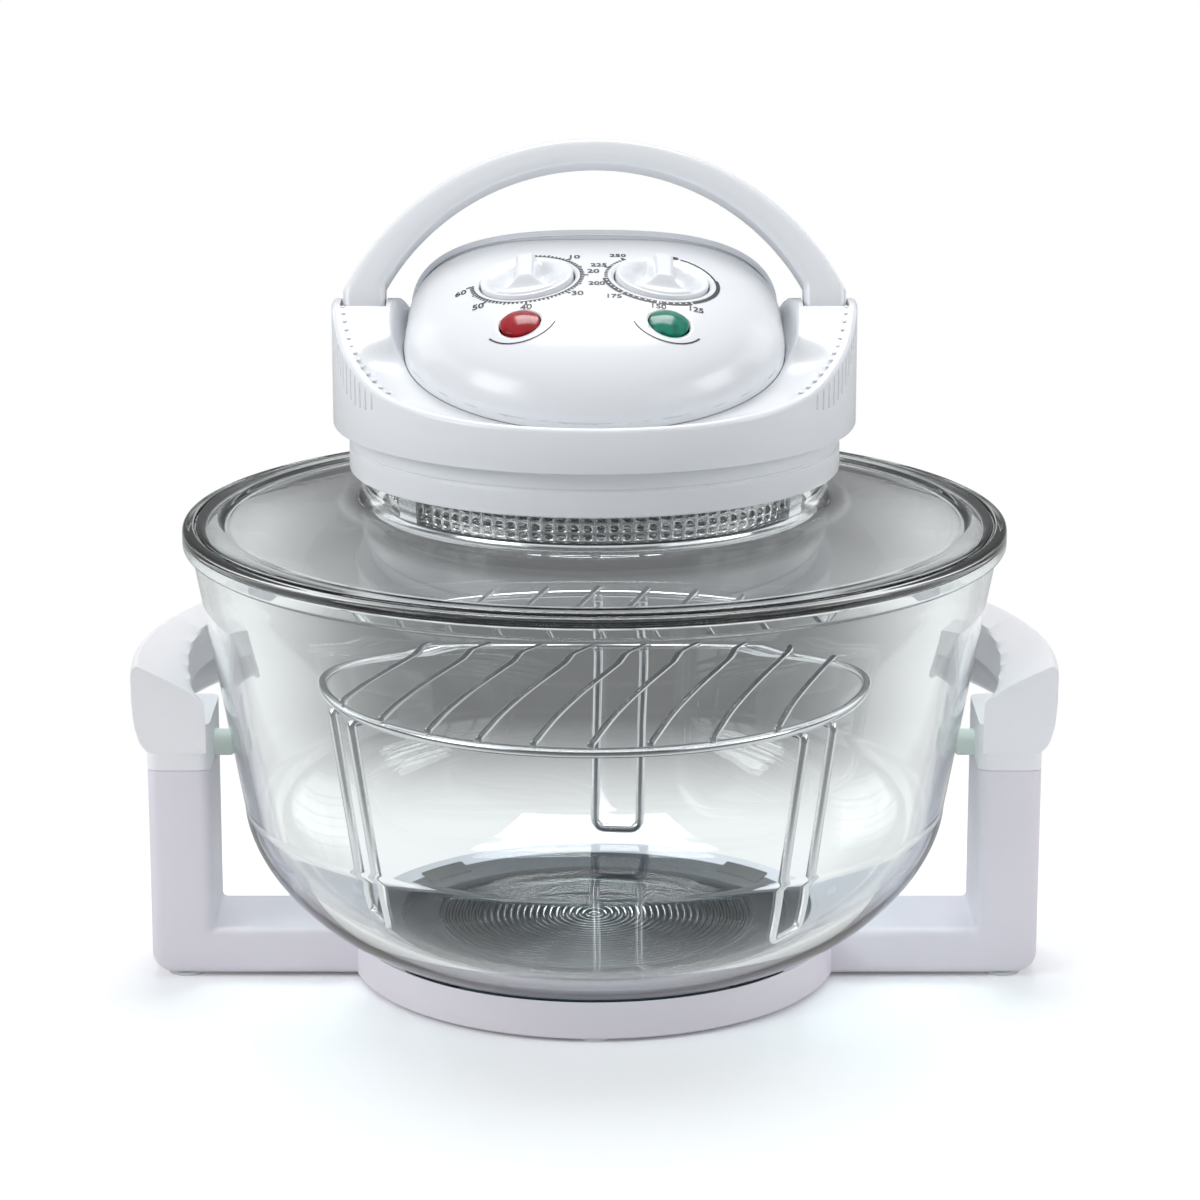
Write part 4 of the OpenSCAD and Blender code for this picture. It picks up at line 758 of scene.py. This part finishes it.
# The trough's foot runs just under the panel's edge and its crest is the rim. Between them it climbs
# by a share that is steep at the ears and gentle in front; its underside is a wall's thickness lower.
foot_r, foot_back_v, foot_sink = 76.2, 44.0, 3.0
round_a = np.radians(np.linspace(-90, 270, 289))
foot_v = foot_r * np.sin(round_a)
behind = foot_v > foot_back_v
foot_u = np.where(behind, foot_back_v / np.tan(np.where(behind, round_a, 1)), foot_r * np.cos(round_a))
foot = on_dome(foot_u, np.minimum(foot_v, foot_back_v), -foot_sink)
foot[:, 2] = np.minimum(foot[:, 2], rim_z(foot[:, 1]))
crest = around(crest_r, round_a, 0)
share = np.linspace(0, 1, 40)[:, None] ** 0.9
across = foot[None] + (crest - foot)[None] * share[..., None]
land = 0.2 + 0.76 * smooth(-crest[:, 1], 14, 40)
climb = np.clip(share / land[None], 0, 1)
climb = climb ** (1.25 + 0.9 * smooth(-crest[:, 1], 20, 60))
climb = np.where(climb > 0.85, climb - (climb - 0.85) ** 2 * 0.9, climb)
climb = climb / climb.max(0)
across[..., 2] = foot[None, :, 2] + (rim_z(across[..., 1]) - foot[None, :, 2]) * climb
outer = around(1, round_a, 0)


def ring_row(radius, z):
    """A row of the collar's wall: radius outwards at height z, both either single or one per column."""
    row = outer * np.broadcast_to(radius, round_a.shape)[:, None]
    row[:, 2] = z
    return row[None]


wall_turn = np.radians(np.linspace(15, 90, 6))
rows = [across] + [ring_row(crest_r + 2 * np.sin(t), rim_z(crest_r * np.sin(round_a)) - 2 * (1 - np.cos(t)))
                   for t in wall_turn]
rows += [ring_row(radius, z) for radius, z in (
    (collar_r, 232.4), (collar_r - 0.3, 231.8), (collar_r - 1, collar_low_z), (90, collar_low_z),
    (90, collar_low_z + collar_t), (collar_r - collar_t, collar_low_z + collar_t))]
ear_half_y, foot_slot_x, foot_slot_half = 30, 93, 9.3
ear = smooth(ear_half_y - np.abs(crest[:, 1]), 0, 5)
below = across.copy()
below[..., 2] -= collar_t
below[..., 2] += ear * (np.minimum(ear_low_z, below[..., 2]) - below[..., 2])
below[-1, :, :2] *= (collar_r - collar_t) / crest_r
rows += [below[::-1], across[:1]]
housing = skin("head_collar", [np.concatenate(rows)], white_plastic, "head", ["head_housing"])
carve(housing, [((sign * foot_slot_x - foot_slot_half, -10.2, 255.5),
                 (sign * foot_slot_x + foot_slot_half, 21, 300)) for sign in (-1, 1)])

# Ear marks: on each side a row of small beads along the crest and nested ribs over the edge,
# moulded in one with the collar so that wet fingers hold it.

bead_ring_r, bead_r, bead_h, rib_r = 101.6, 1.05, 0.6, 0.55
bead_y = np.linspace(-11, -62, 13)
bead_x = np.sqrt(bead_ring_r ** 2 - bead_y ** 2)
bead_a = np.radians(np.linspace(-20, 90, 6))
bead = turned(np.stack([bead_r * np.cos(bead_a), bead_h * np.sin(bead_a)], -1), 14)
beads = [bead + [x, y, rim_z(y) - 0.1] for x, y in zip(bead_x, bead_y)]
rib_y = np.linspace(-24, -60, 10)
rib_l = 3.5 + 8.5 * np.sin(np.linspace(0.25, np.pi - 0.25, 10))
ribs = []
for y, length in zip(rib_y, rib_l):
    out = np.array([np.sqrt(collar_r ** 2 - y ** 2), y, 0]) / collar_r
    top = rim_z(y)
    spine = [out * 102.4 + [0, 1.5, rim_z(y + 1.5) - 0.25], out * 104.9 + [0, 0, top - 0.35],
             out * 105.9 + [0, -0.3, top - 2.2], out * 105.8 + [0, -0.6, top - 2 - length]]
    ribs.append(wire(tidied(softened(spine, [0, 1.8, 1.8, 0])), rib_r, 8))
polished = finish("polished_beads", gloss_white, Specular_IOR_Level=0.5, Coat_Weight=0.5,
                  Coat_Roughness=0.25)
for name, marks, paint in (("ear_beads", beads, polished), ("ear_ribs", ribs, white_plastic)):
    skin(name, marks + [mark * [-1, 1, 1] for mark in marks], paint, "head")

# Inside the collar: the cord's rubber gland at the back, wires, the switch that the handle presses
# and its red button.

dress(black_rubber, "cord_gland")


def sleeve(start, colour, second):
    """Woven sleeving or moulded pin: a satin colour with a close, even ribbing."""
    point = start.point()
    x, y, z = point.split()
    return {"Base Color": point.noise(80, 3).blend(colour, second),
            "Roughness": 0.4 + 0.15 * point.noise(300, 2),
            "Normal": start.maths("SINE", (x + y + z) * 6000).bump(0.00005, 0.4)}


wire_sleeve = finish("wire_sleeve", lambda s: sleeve(s, (0.42, 0.05, 0.03, 1), (0.55, 0.08, 0.05, 1)))
red_button = finish("red_button", lambda s: sleeve(s, (0.55, 0.03, 0.03, 1), (0.62, 0.05, 0.04, 1)))
dress(wire_sleeve, "wiring")
dress(red_button, "switch_button")
dress(dark_plastic, "safety_switch", "timer_unit", "thermostat_unit")

# Control panel: a domed moulding, round at the front and squarer at the back, with a deep well for
# each knob and a seat for each indicator lens. It is polished in the mould.

knob_x, knob_v, splay = 27, -2, np.radians(8)
lens_x, lens_v, lens_r, lens_lean = 29, -38, 7.8, np.radians(13)
cover_v, skirt_h, well_r, well_depth, well_edge, panel_t = 46.0, -3.0, 19.2, 8.0, 1.0, 2.2


def spread(u, v, depth):
    """Length of (u, v) by a power that goes from 2, a circle, in front to 3.5, a rounded square,
    behind, as depth says."""
    power = 2 + 1.5 * smooth(depth, -6, 28)
    return (np.abs(u) ** power + np.abs(v) ** power) ** (1 / power)


def rise(u, v):
    """Height of the panel over its edge plane: a dome whose side is a flattened oval."""
    span = spread(u, v, v) / dome_r
    return dome_h * np.sqrt(np.clip(1 - span ** dome_power, 0, 1))


def edge_radius(a):
    """Distance from the panel's centre to its edge in direction a, before its back is cut off."""
    r = np.full(a.shape, float(dome_r))
    for _ in range(30):
        r = dome_r / spread(np.cos(a), np.sin(a), r * np.sin(a))
    return r


def plain_rise(r):
    """Height of the dome at radius r where its plan is a circle."""
    return dome_h * np.sqrt(1 - (r / dome_r) ** dome_power)


knob_h = plain_rise(knob_x) + 0.6
lens_h = plain_rise(np.hypot(lens_x, lens_v))

# Its plan is drawn flat and cut into triangles round the holes, then raised to the dome, and a short
# skirt of quads hangs from its edge.
panel_a = np.radians(np.linspace(0, 360, 241))[:-1]
reach = edge_radius(panel_a)
limit = np.where(np.sin(panel_a) > 0, cover_v / np.maximum(np.sin(panel_a), 1e-6), 1e9)
reach = np.minimum(reach, limit)
depth_steps = np.sin(np.radians(np.linspace(3, 90, 64)))
plan = np.stack([np.outer(depth_steps, reach * np.cos(panel_a)),
                 np.outer(depth_steps, reach * np.sin(panel_a))], -1)
holes = [(sign * x, v, r)
         for x, v, r in ((knob_x, knob_v, well_r + well_edge), (lens_x, lens_v, lens_r + 0.5))
         for sign in (-1, 1)]
inner = plan[:-1].reshape(-1, 2)
for u, v, r in holes:
    inner = inner[np.hypot(inner[:, 0] - u, inner[:, 1] - v) > r + 0.5]
loops = [plan[-1]]
hole_a = np.radians(np.linspace(0, 360, 97))[:-1]
for u, v, r in holes:
    loops.append(np.stack([u + r * np.cos(hole_a), v + r * np.sin(hole_a)], -1))
flat_points = np.concatenate(loops + [inner])
edges, base = [], 0
for loop in loops:
    index = base + np.arange(len(loop))
    edges += np.stack([index, np.roll(index, -1)], -1).tolist()
    base += len(loop)
found = delaunay_2d_cdt([Vector(p) for p in flat_points], edges, [], 0, 1e-6, False)
flat = np.array([tuple(p) for p in found[0]])
triangles = np.array([f for f in found[2] if len(f) == 3])
middle = flat[triangles].mean(1)
inside = np.ones(len(triangles), bool)
for u, v, r in holes:
    inside &= np.hypot(middle[:, 0] - u, middle[:, 1] - v) > r * 0.999
triangles = triangles[inside]
panel_points = on_dome(flat[:, 0], flat[:, 1], rise(flat[:, 0], flat[:, 1]))
edge = plan[-1]
edge_h = rise(edge[:, 0], edge[:, 1])
low_h = skirt_h - 12 * smooth(edge[:, 1], 8, 46)
fall = np.linspace(0, 1, 8)[:, None]
skirt = on_dome(edge[None, :, 0], edge[None, :, 1], edge_h + (low_h - edge_h) * fall)
skirt_index = len(flat) + np.arange(skirt.size // 3).reshape(8, -1)
after = np.roll(skirt_index, -1, 1)
skirt_quads = np.stack([skirt_index[:-1], after[:-1], after[1:], skirt_index[1:]], -1).reshape(-1, 4)
piece("domed_panel", np.concatenate([panel_points, skirt.reshape(-1, 3)]),
      triangles.tolist() + skirt_quads.tolist(), white_plastic, "head", ["control_panel"], thick=panel_t)


def set_in(local, at, tip, turn):
    """A point given on a knob or lens, tipped about X and then splayed about Y, placed on the dome."""
    a, b, c = (local[..., i] for i in range(3))
    b, c = b * np.cos(tip) - c * np.sin(tip), b * np.sin(tip) + c * np.cos(tip)
    a, c = a * np.cos(turn) + c * np.sin(turn), -a * np.sin(turn) + c * np.cos(turn)
    return on_dome(at[0] + a, at[1] + b, at[2] + c)


def on_knob(side, grid):
    """A grid in the left or right knob's own frame, placed on the dome."""
    return set_in(grid, (side * knob_x, knob_v, knob_h), 0.0, side * splay)


def on_skin(side, a, b):
    """Height in a knob's own frame of the panel's skin over (a, b), found in a few steps."""
    a, b = np.broadcast_arrays(np.asarray(a, float), np.asarray(b, float))
    turn, c = side * splay, np.zeros(a.shape)
    for _ in range(8):
        u = side * knob_x + a * np.cos(turn) + c * np.sin(turn)
        c = (rise(u, knob_v + b) - knob_h + a * np.sin(turn)) / np.cos(turn)
    return c


well_a = np.linspace(0, 2 * np.pi, 97)
well_floor, well_under = -well_depth, -well_depth - 1.6
for side, name in ((-1, "time_well"), (1, "temp_well")):
    mouth, over = (on_skin(side, r * np.cos(well_a), r * np.sin(well_a))
                   for r in (well_r + well_edge, well_r + 1.7))
    rows = [(0, well_floor), (well_r - 1.5, well_floor), (well_r - 0.4, well_floor + 0.4),
            (well_r, well_floor + 1.5)]
    rows += [(well_r + t * t * well_edge,
              (1 - t) ** 2 * (mouth - 1.0) + 2 * t * (1 - t) * (mouth - 0.05) + t * t * mouth)
             for t in np.linspace(0, 1, 6)]
    rows += [(well_r + 1.7, over + 0.02), (well_r + 1.8, over - 1.2), (well_r + 1.4, well_under),
             (0, well_under)]
    well = on_knob(side, np.stack([around(r, well_a, height) for r, height in rows]))
    skin(name, [well], white_plastic, "head")

# Rear cover: the back half of the head, a barrel shape about the handle's axis, so that the handle
# swings past it. Nine slots let warm air out.

barrel_r, barrel_x, cover_half, cover_start, cover_t, vent_pitch, vent_half = 44.3, 81.5, 75, 46.5, 2, 10, 1.5
cover_x = cover_half * np.sin(np.radians(np.linspace(-90, 90, 121)))
cover_rho = barrel_r * (1 - (np.abs(cover_x) / barrel_x) ** dome_power) ** 0.3
offset = cover_start + dome_y * np.cos(dome_tilt)
ratio = np.clip(offset / cover_rho, -1, 1)
first = np.arcsin(ratio) - dome_tilt
last_v = np.pi - np.arcsin(ratio) - dome_tilt
sample = np.linspace(0, 1, 400)[:, None]
turns = first + (np.radians(150) - first) * sample
clear_of_rim = pivot_z + cover_rho * np.cos(turns) - rim_z(cover_rho * np.sin(turns)) + 0.4
hit = np.argmax(clear_of_rim < 0, axis=0)
last = np.minimum(last_v, turns[hit, np.arange(len(cover_x))])
cover_turn = first + (last - first) * np.linspace(0, 1, 60)[:, None]
cover = np.stack([np.broadcast_to(cover_x, cover_turn.shape), cover_rho * np.sin(cover_turn),
                  pivot_z + cover_rho * np.cos(cover_turn)], -1)
front_low = on_dome(cover_x, cover_start, -12.0)
front_low[:, 2] = np.minimum(front_low[:, 2], cover[0, :, 2] - 0.01)
back_cover = skin("rear_cover_shell", [np.concatenate([front_low[None], cover])], white_plastic, "head",
                  ["rear_cover"], thick=cover_t)
carve(back_cover, [((vent_pitch * i - vent_half, 30, 272), (vent_pitch * i + vent_half, 70, 288))
                   for i in range(-4, 5)])

# Indicator lenses: clear coloured plastic, a little domed, with a faceted reflector behind them whose
# reflections are painted into the colour as darker and lighter patches.


def jewel_painted_reflection(start, colour, dark, cell):
    """Tinted plastic over a faceted backing, its reflections painted in: cells of lighter and darker colour,
    more at the middle.
    """
    point = start.point()
    painted_reflection_cells = start.make("TexVoronoi", {"feature": "SMOOTH_F1"},
                       {"Vector": point, "Scale": cell, "Smoothness": 0.6}, out="Distance")
    # Painted reflection: the cells' lighter and darker patches stand in for light thrown back by the facets.
    return {"Base Color": (painted_reflection_cells * 1.6 + 0.25 * point.noise(300, 2)).blend(dark, colour),
            "Roughness": 0.1 + 0.1 * point.noise(200, 2)}


red_lens = finish("red_lens", lambda s: jewel_painted_reflection(s, (0.34, 0.0, 0.008, 1), (0.14, 0.0, 0.005, 1), 330),
                  Specular_IOR_Level=0.35)
green_lens = finish("green_lens", lambda s: jewel_painted_reflection(s, (0.0, 0.20, 0.13, 1), (0.0, 0.06, 0.05, 1), 260),
                    Specular_IOR_Level=0.35)
lens_stem_r = 6.8
lens_cap = softened([(0, 1.9), (4, 1.6), (lens_r, 0.3), (lens_r, -2.5), (lens_stem_r, -2.5),
                     (lens_stem_r, -4), (0, -4)], [0, 2, 0.5, 0.2, 0.2, 0.2, 0])
for side, node, paint in ((-1, "power_lens", red_lens), (1, "heat_lens", green_lens)):
    at = (side * lens_x, lens_v, lens_h)
    skin(node + "_cap", [set_in(turned(lens_cap, 64), at, lens_lean, side * splay)], paint, "head", [node])
# The lamps inside take the same painted reflection cells as the lenses.
neon = finish("neon", lambda s: jewel_painted_reflection(s, (0.75, 0.30, 0.06, 1), (0.45, 0.15, 0.03, 1), 500))
copper_tube = finish("copper_tube", steel((0.72, 0.36, 0.20, 1), 600, 0.25), Metallic=1)
dress(neon, "indicator_lamps")
dress(copper_tube, "thermostat_probe")

# Knobs: dished discs in soft white plastic, each with one grip bar across it that flows into the
# dish. They turn on steel spindles from the timer and the thermostat.

knob_r, face_r, knob_under, dish_floor, dish_depth, bar_high, bar_half = 18.5, 17.6, -7.2, -4.9, 4.7, 4.9, 4.7
knob_plastic = finish("knob_plastic", gloss_white, Specular_IOR_Level=0.5, Coat_Weight=0.15)
knob_a = np.linspace(0, 2 * np.pi, 301)
knob_radius = np.r_[np.linspace(0, face_r, 56), np.linspace(17.7, 18.2, 5)][:, None]
ka, kb = knob_radius * np.cos(knob_a), knob_radius * np.sin(knob_a)
dish = dish_floor + dish_depth * smooth(knob_radius, 6.5, face_r) + 0 * ka
bar_wide = bar_half + 9 * smooth(-kb, 9, 15)
bar_top = bar_high - 4.2 * smooth(-kb, 8.5, 14)
bar_end = (1 - smooth(knob_radius, 16.8, 17.8)) * (1 - smooth(kb, 11.5, 14.5))
grip_bar = dish + (bar_top - dish) * np.exp(-(np.abs(ka) / bar_wide) ** 7) * bar_end
rows = [np.stack([ka, kb, grip_bar], -1)]
for r, c in ((knob_r - 0.1, -0.35), (knob_r, -0.8), (knob_r, -6.7), (18.2, knob_under), (0, knob_under)):
    rows.append(around(r, knob_a, c)[None])
knob_grid = np.concatenate(rows)
for side, dial in ((-1, "time"), (1, "temp")):
    skin(dial + "_dial_knob", [on_knob(side, knob_grid)], knob_plastic, dial + "_dial", [dial + "_knob"])
dress(fastener_steel, "time_shaft", "temp_shaft")

# Printed scales: pad-printed in black round each knob, with plain numbers, and a thin arc under each
# lens. Minutes run from 0 at the top to 60 at the left, temperature from a dot to 250.

scale_r, ink_lift, mark_step, text_wide, text_high = 21.6, 0.16, 4.5, 1.25, 1.35


def ink_tone(start):
    """Pad-printing ink: near black, with tiny pale breaks."""
    point = start.point()
    breaks = point.noise(1800, 2).step(0.66, 0.74)
    return {"Base Color": breaks.blend((0.012, 0.012, 0.014, 1), (0.05, 0.05, 0.055, 1)),
            "Roughness": 0.35 + 0.2 * point.noise(500, 2)}


ink = finish("ink", ink_tone)
pale_ink = finish("pale_ink", lambda s: {"Roughness": 0.4 + 0.1 * s.point().noise(300, 2)},
                  Base_Color=(0.82, 0.83, 0.85, 1))


def on_panel(side, a, b, lift=ink_lift):
    """Points (a, b) of a knob's own frame laid on the panel's skin, lift mm over it."""
    return on_knob(side, np.stack([a, b, on_skin(side, a, b) + lift], -1))


def arc_strip(side, inner, outer, first, last, count=2):
    """Part of a ring round a knob, in degrees clockwise from its top, laid on the panel's skin."""
    angle = np.radians(90 - np.linspace(first, last, count))
    radius = np.array([inner, outer])[:, None]
    return on_panel(side, radius * np.cos(angle), radius * np.sin(angle))


def dot(side, radius, degrees, size, lift=ink_lift):
    """A round dot on a ring round a knob."""
    spin, at = np.linspace(0, 2 * np.pi, 25), np.radians(90 - degrees)
    return on_panel(side, radius * np.cos(at) + np.outer([0, size], np.cos(spin)),
                    radius * np.sin(at) + np.outer([0, size], np.sin(spin)), lift)


def ticks(side, degrees, inner, outer, wide):
    """Short radial marks of equal width in mm."""
    half = np.degrees(wide / 2 / ((inner + outer) / 2))
    return [arc_strip(side, inner, outer, d - half, d + half) for d in degrees]


def numbers(side, texts, radius, size):
    """Plain numbers, upright on the panel, with their middles on a ring round the knob: for each its
    text, its degrees and how far off the ring it stands."""
    vertices, faces, start = [], [], 0
    for text, degrees, extra in texts:
        letters = bpy.data.curves.new(text, "FONT")
        letters.body, letters.size, letters.align_x, letters.align_y = text, size, "CENTER", "CENTER"
        letters.resolution_u, letters.offset = 3, 0.022 * size
        holder = show(text, letters)
        flat_text = evaluated(holder)
        at = np.zeros(len(flat_text.vertices) * 3)
        flat_text.vertices.foreach_get("co", at)
        at = at.reshape(-1, 3)
        angle = np.radians(90 - degrees)
        a = (radius + extra) * np.cos(angle) + at[:, 0] * text_wide
        b = (radius + extra) * np.sin(angle) + at[:, 1] * text_high
        vertices.append(on_panel(side, a, b))
        faces += [[start + i for i in polygon.vertices] for polygon in flat_text.polygons]
        start += len(at)
        bpy.data.objects.remove(holder)
    return np.concatenate(vertices), faces


def printed(name, grids, text=None, material=ink):
    """Ink marks, and with them numbers, as thin meshes that ride on the head."""
    skin(name, grids, material, "head")
    if text:
        piece(name + "_numbers", *text, material, "head")


minute = np.arange(61)
tens, fives = minute % 10 == 0, (minute % 5 == 0) & (minute % 10 > 0)
time_marks = []
for marks, low, high, wide in ((~tens & ~fives, 0, 1.3, 0.95), (fives, -0.4, 1.9, 0.8),
                               (tens, -0.4, 2.8, 0.95)):
    time_marks += ticks(-1, minute[marks] * mark_step, scale_r + low, scale_r + high, wide)
time_marks += ticks(-1, [-9], scale_r - 0.2, scale_r + 2.8, 1.0)
time_marks += [arc_strip(-1, scale_r - 0.35, scale_r + 0.1, 0, 270, 136)]
time_numbers = numbers(-1, [("10", 44, 0.4), ("20", 82, 0.2), ("30", 131, 0.2), ("40", 180, -0.4),
                            ("50", 226, 0.4), ("60", 264, 0.4)], scale_r + 4.8, 3.9)
printed("time_scale", time_marks, time_numbers)
temp_marks = [arc_strip(1, scale_r, scale_r + wide, first_a, last_a, count)
              for wide, first_a, last_a, count in ((0.9, 20, 75, 40), (1.7, 75, 148, 40), (2.3, 150, 184, 24),
                                                   (2.3, 186, 223, 24), (2.3, 225, 262, 24))]
temp_marks += ticks(1, np.arange(266, 318, mark_step), scale_r + 0.1, scale_r + 1.4, 0.85)
temp_marks += ticks(1, [290, 318], scale_r + 0.1, scale_r + 2.8, 0.8)
temp_marks.append(dot(1, scale_r + 0.6, 14, 1.5))
temp_numbers = numbers(1, [("125", 151, 0.6), ("150", 184, -0.6), ("175", 224, 1.2), ("200", 252, 0.8),
                           ("225", 292, 0.6), ("250", 320, 0.8)], scale_r + 4.9, 3.5)
printed("temp_scale", temp_marks, temp_numbers)
dot_degrees = np.r_[np.arange(156, 183, 6.5), np.arange(191, 222, 6.5), np.arange(230, 260, 6.5)]
printed("temp_scale_dots", [dot(1, scale_r + 1.15, degrees, 0.42, 2 * ink_lift) for degrees in dot_degrees],
        material=pale_ink)
lens_arcs = []
for side, lean in ((-1, 8), (1, -8)):
    angle = np.radians(np.linspace(-152, -28, 40) + lean)
    radius = np.array([14.3, 14.9])[:, None]
    u, v = side * lens_x + radius * np.cos(angle), lens_v + 3.4 + radius * np.sin(angle)
    lens_arcs.append(on_dome(u, v, rise(u, v) + ink_lift))
printed("lens_arcs", lens_arcs)

# Carry handle: one arched moulding on two steel pins. It rests leaned back, stands up to lift the
# head and presses the switch's button as it comes down.

handle_d, handle_lean, lug_r = 18, np.radians(22), 9
foot_in_x, foot_out_x, arch_r, arch_h, inner_top, inner_c = 84.5, 101.5, 113.5, 80, 70, -26.41


def half_arch(foot_x, foot_s, centre_s, radius):
    """One edge of the handle from its left foot to its right: straight up the leg, then an arc."""
    leg = np.stack([np.full(12, float(foot_x)), np.linspace(-lug_r + 0.03, foot_s, 13)[:-1]], -1)
    end = np.arccos(foot_x / radius)
    arc = np.linspace(end, np.pi / 2, 60)
    side = np.concatenate([leg, np.stack([radius * np.cos(arc), centre_s + radius * np.sin(arc)], -1)])
    return np.concatenate([side * [-1, 1], side[-2::-1]])


outer_line = half_arch(foot_out_x, 17.3, arch_h - arch_r, arch_r)
inner_line = half_arch(foot_in_x, 20.0, inner_c, inner_top - inner_c)
upright_handle = bar(outer_line, inner_line, handle_d / 2, 0.36)
handle_x, handle_y, handle_s = (upright_handle[..., i] for i in range(3))
handle_y = handle_y * np.where(handle_s < 0, np.sqrt(np.clip(1 - (handle_s / lug_r) ** 2, 0, 1)), 1)
handle_grid = np.stack([handle_x, handle_y * np.cos(handle_lean) + handle_s * np.sin(handle_lean),
                        pivot_z - handle_y * np.sin(handle_lean) + handle_s * np.cos(handle_lean)], -1)
skin("arched_handle", [capped(handle_grid)], white_plastic, "handle", ["carry_handle"])
dress(fastener_steel, "handle_pins")
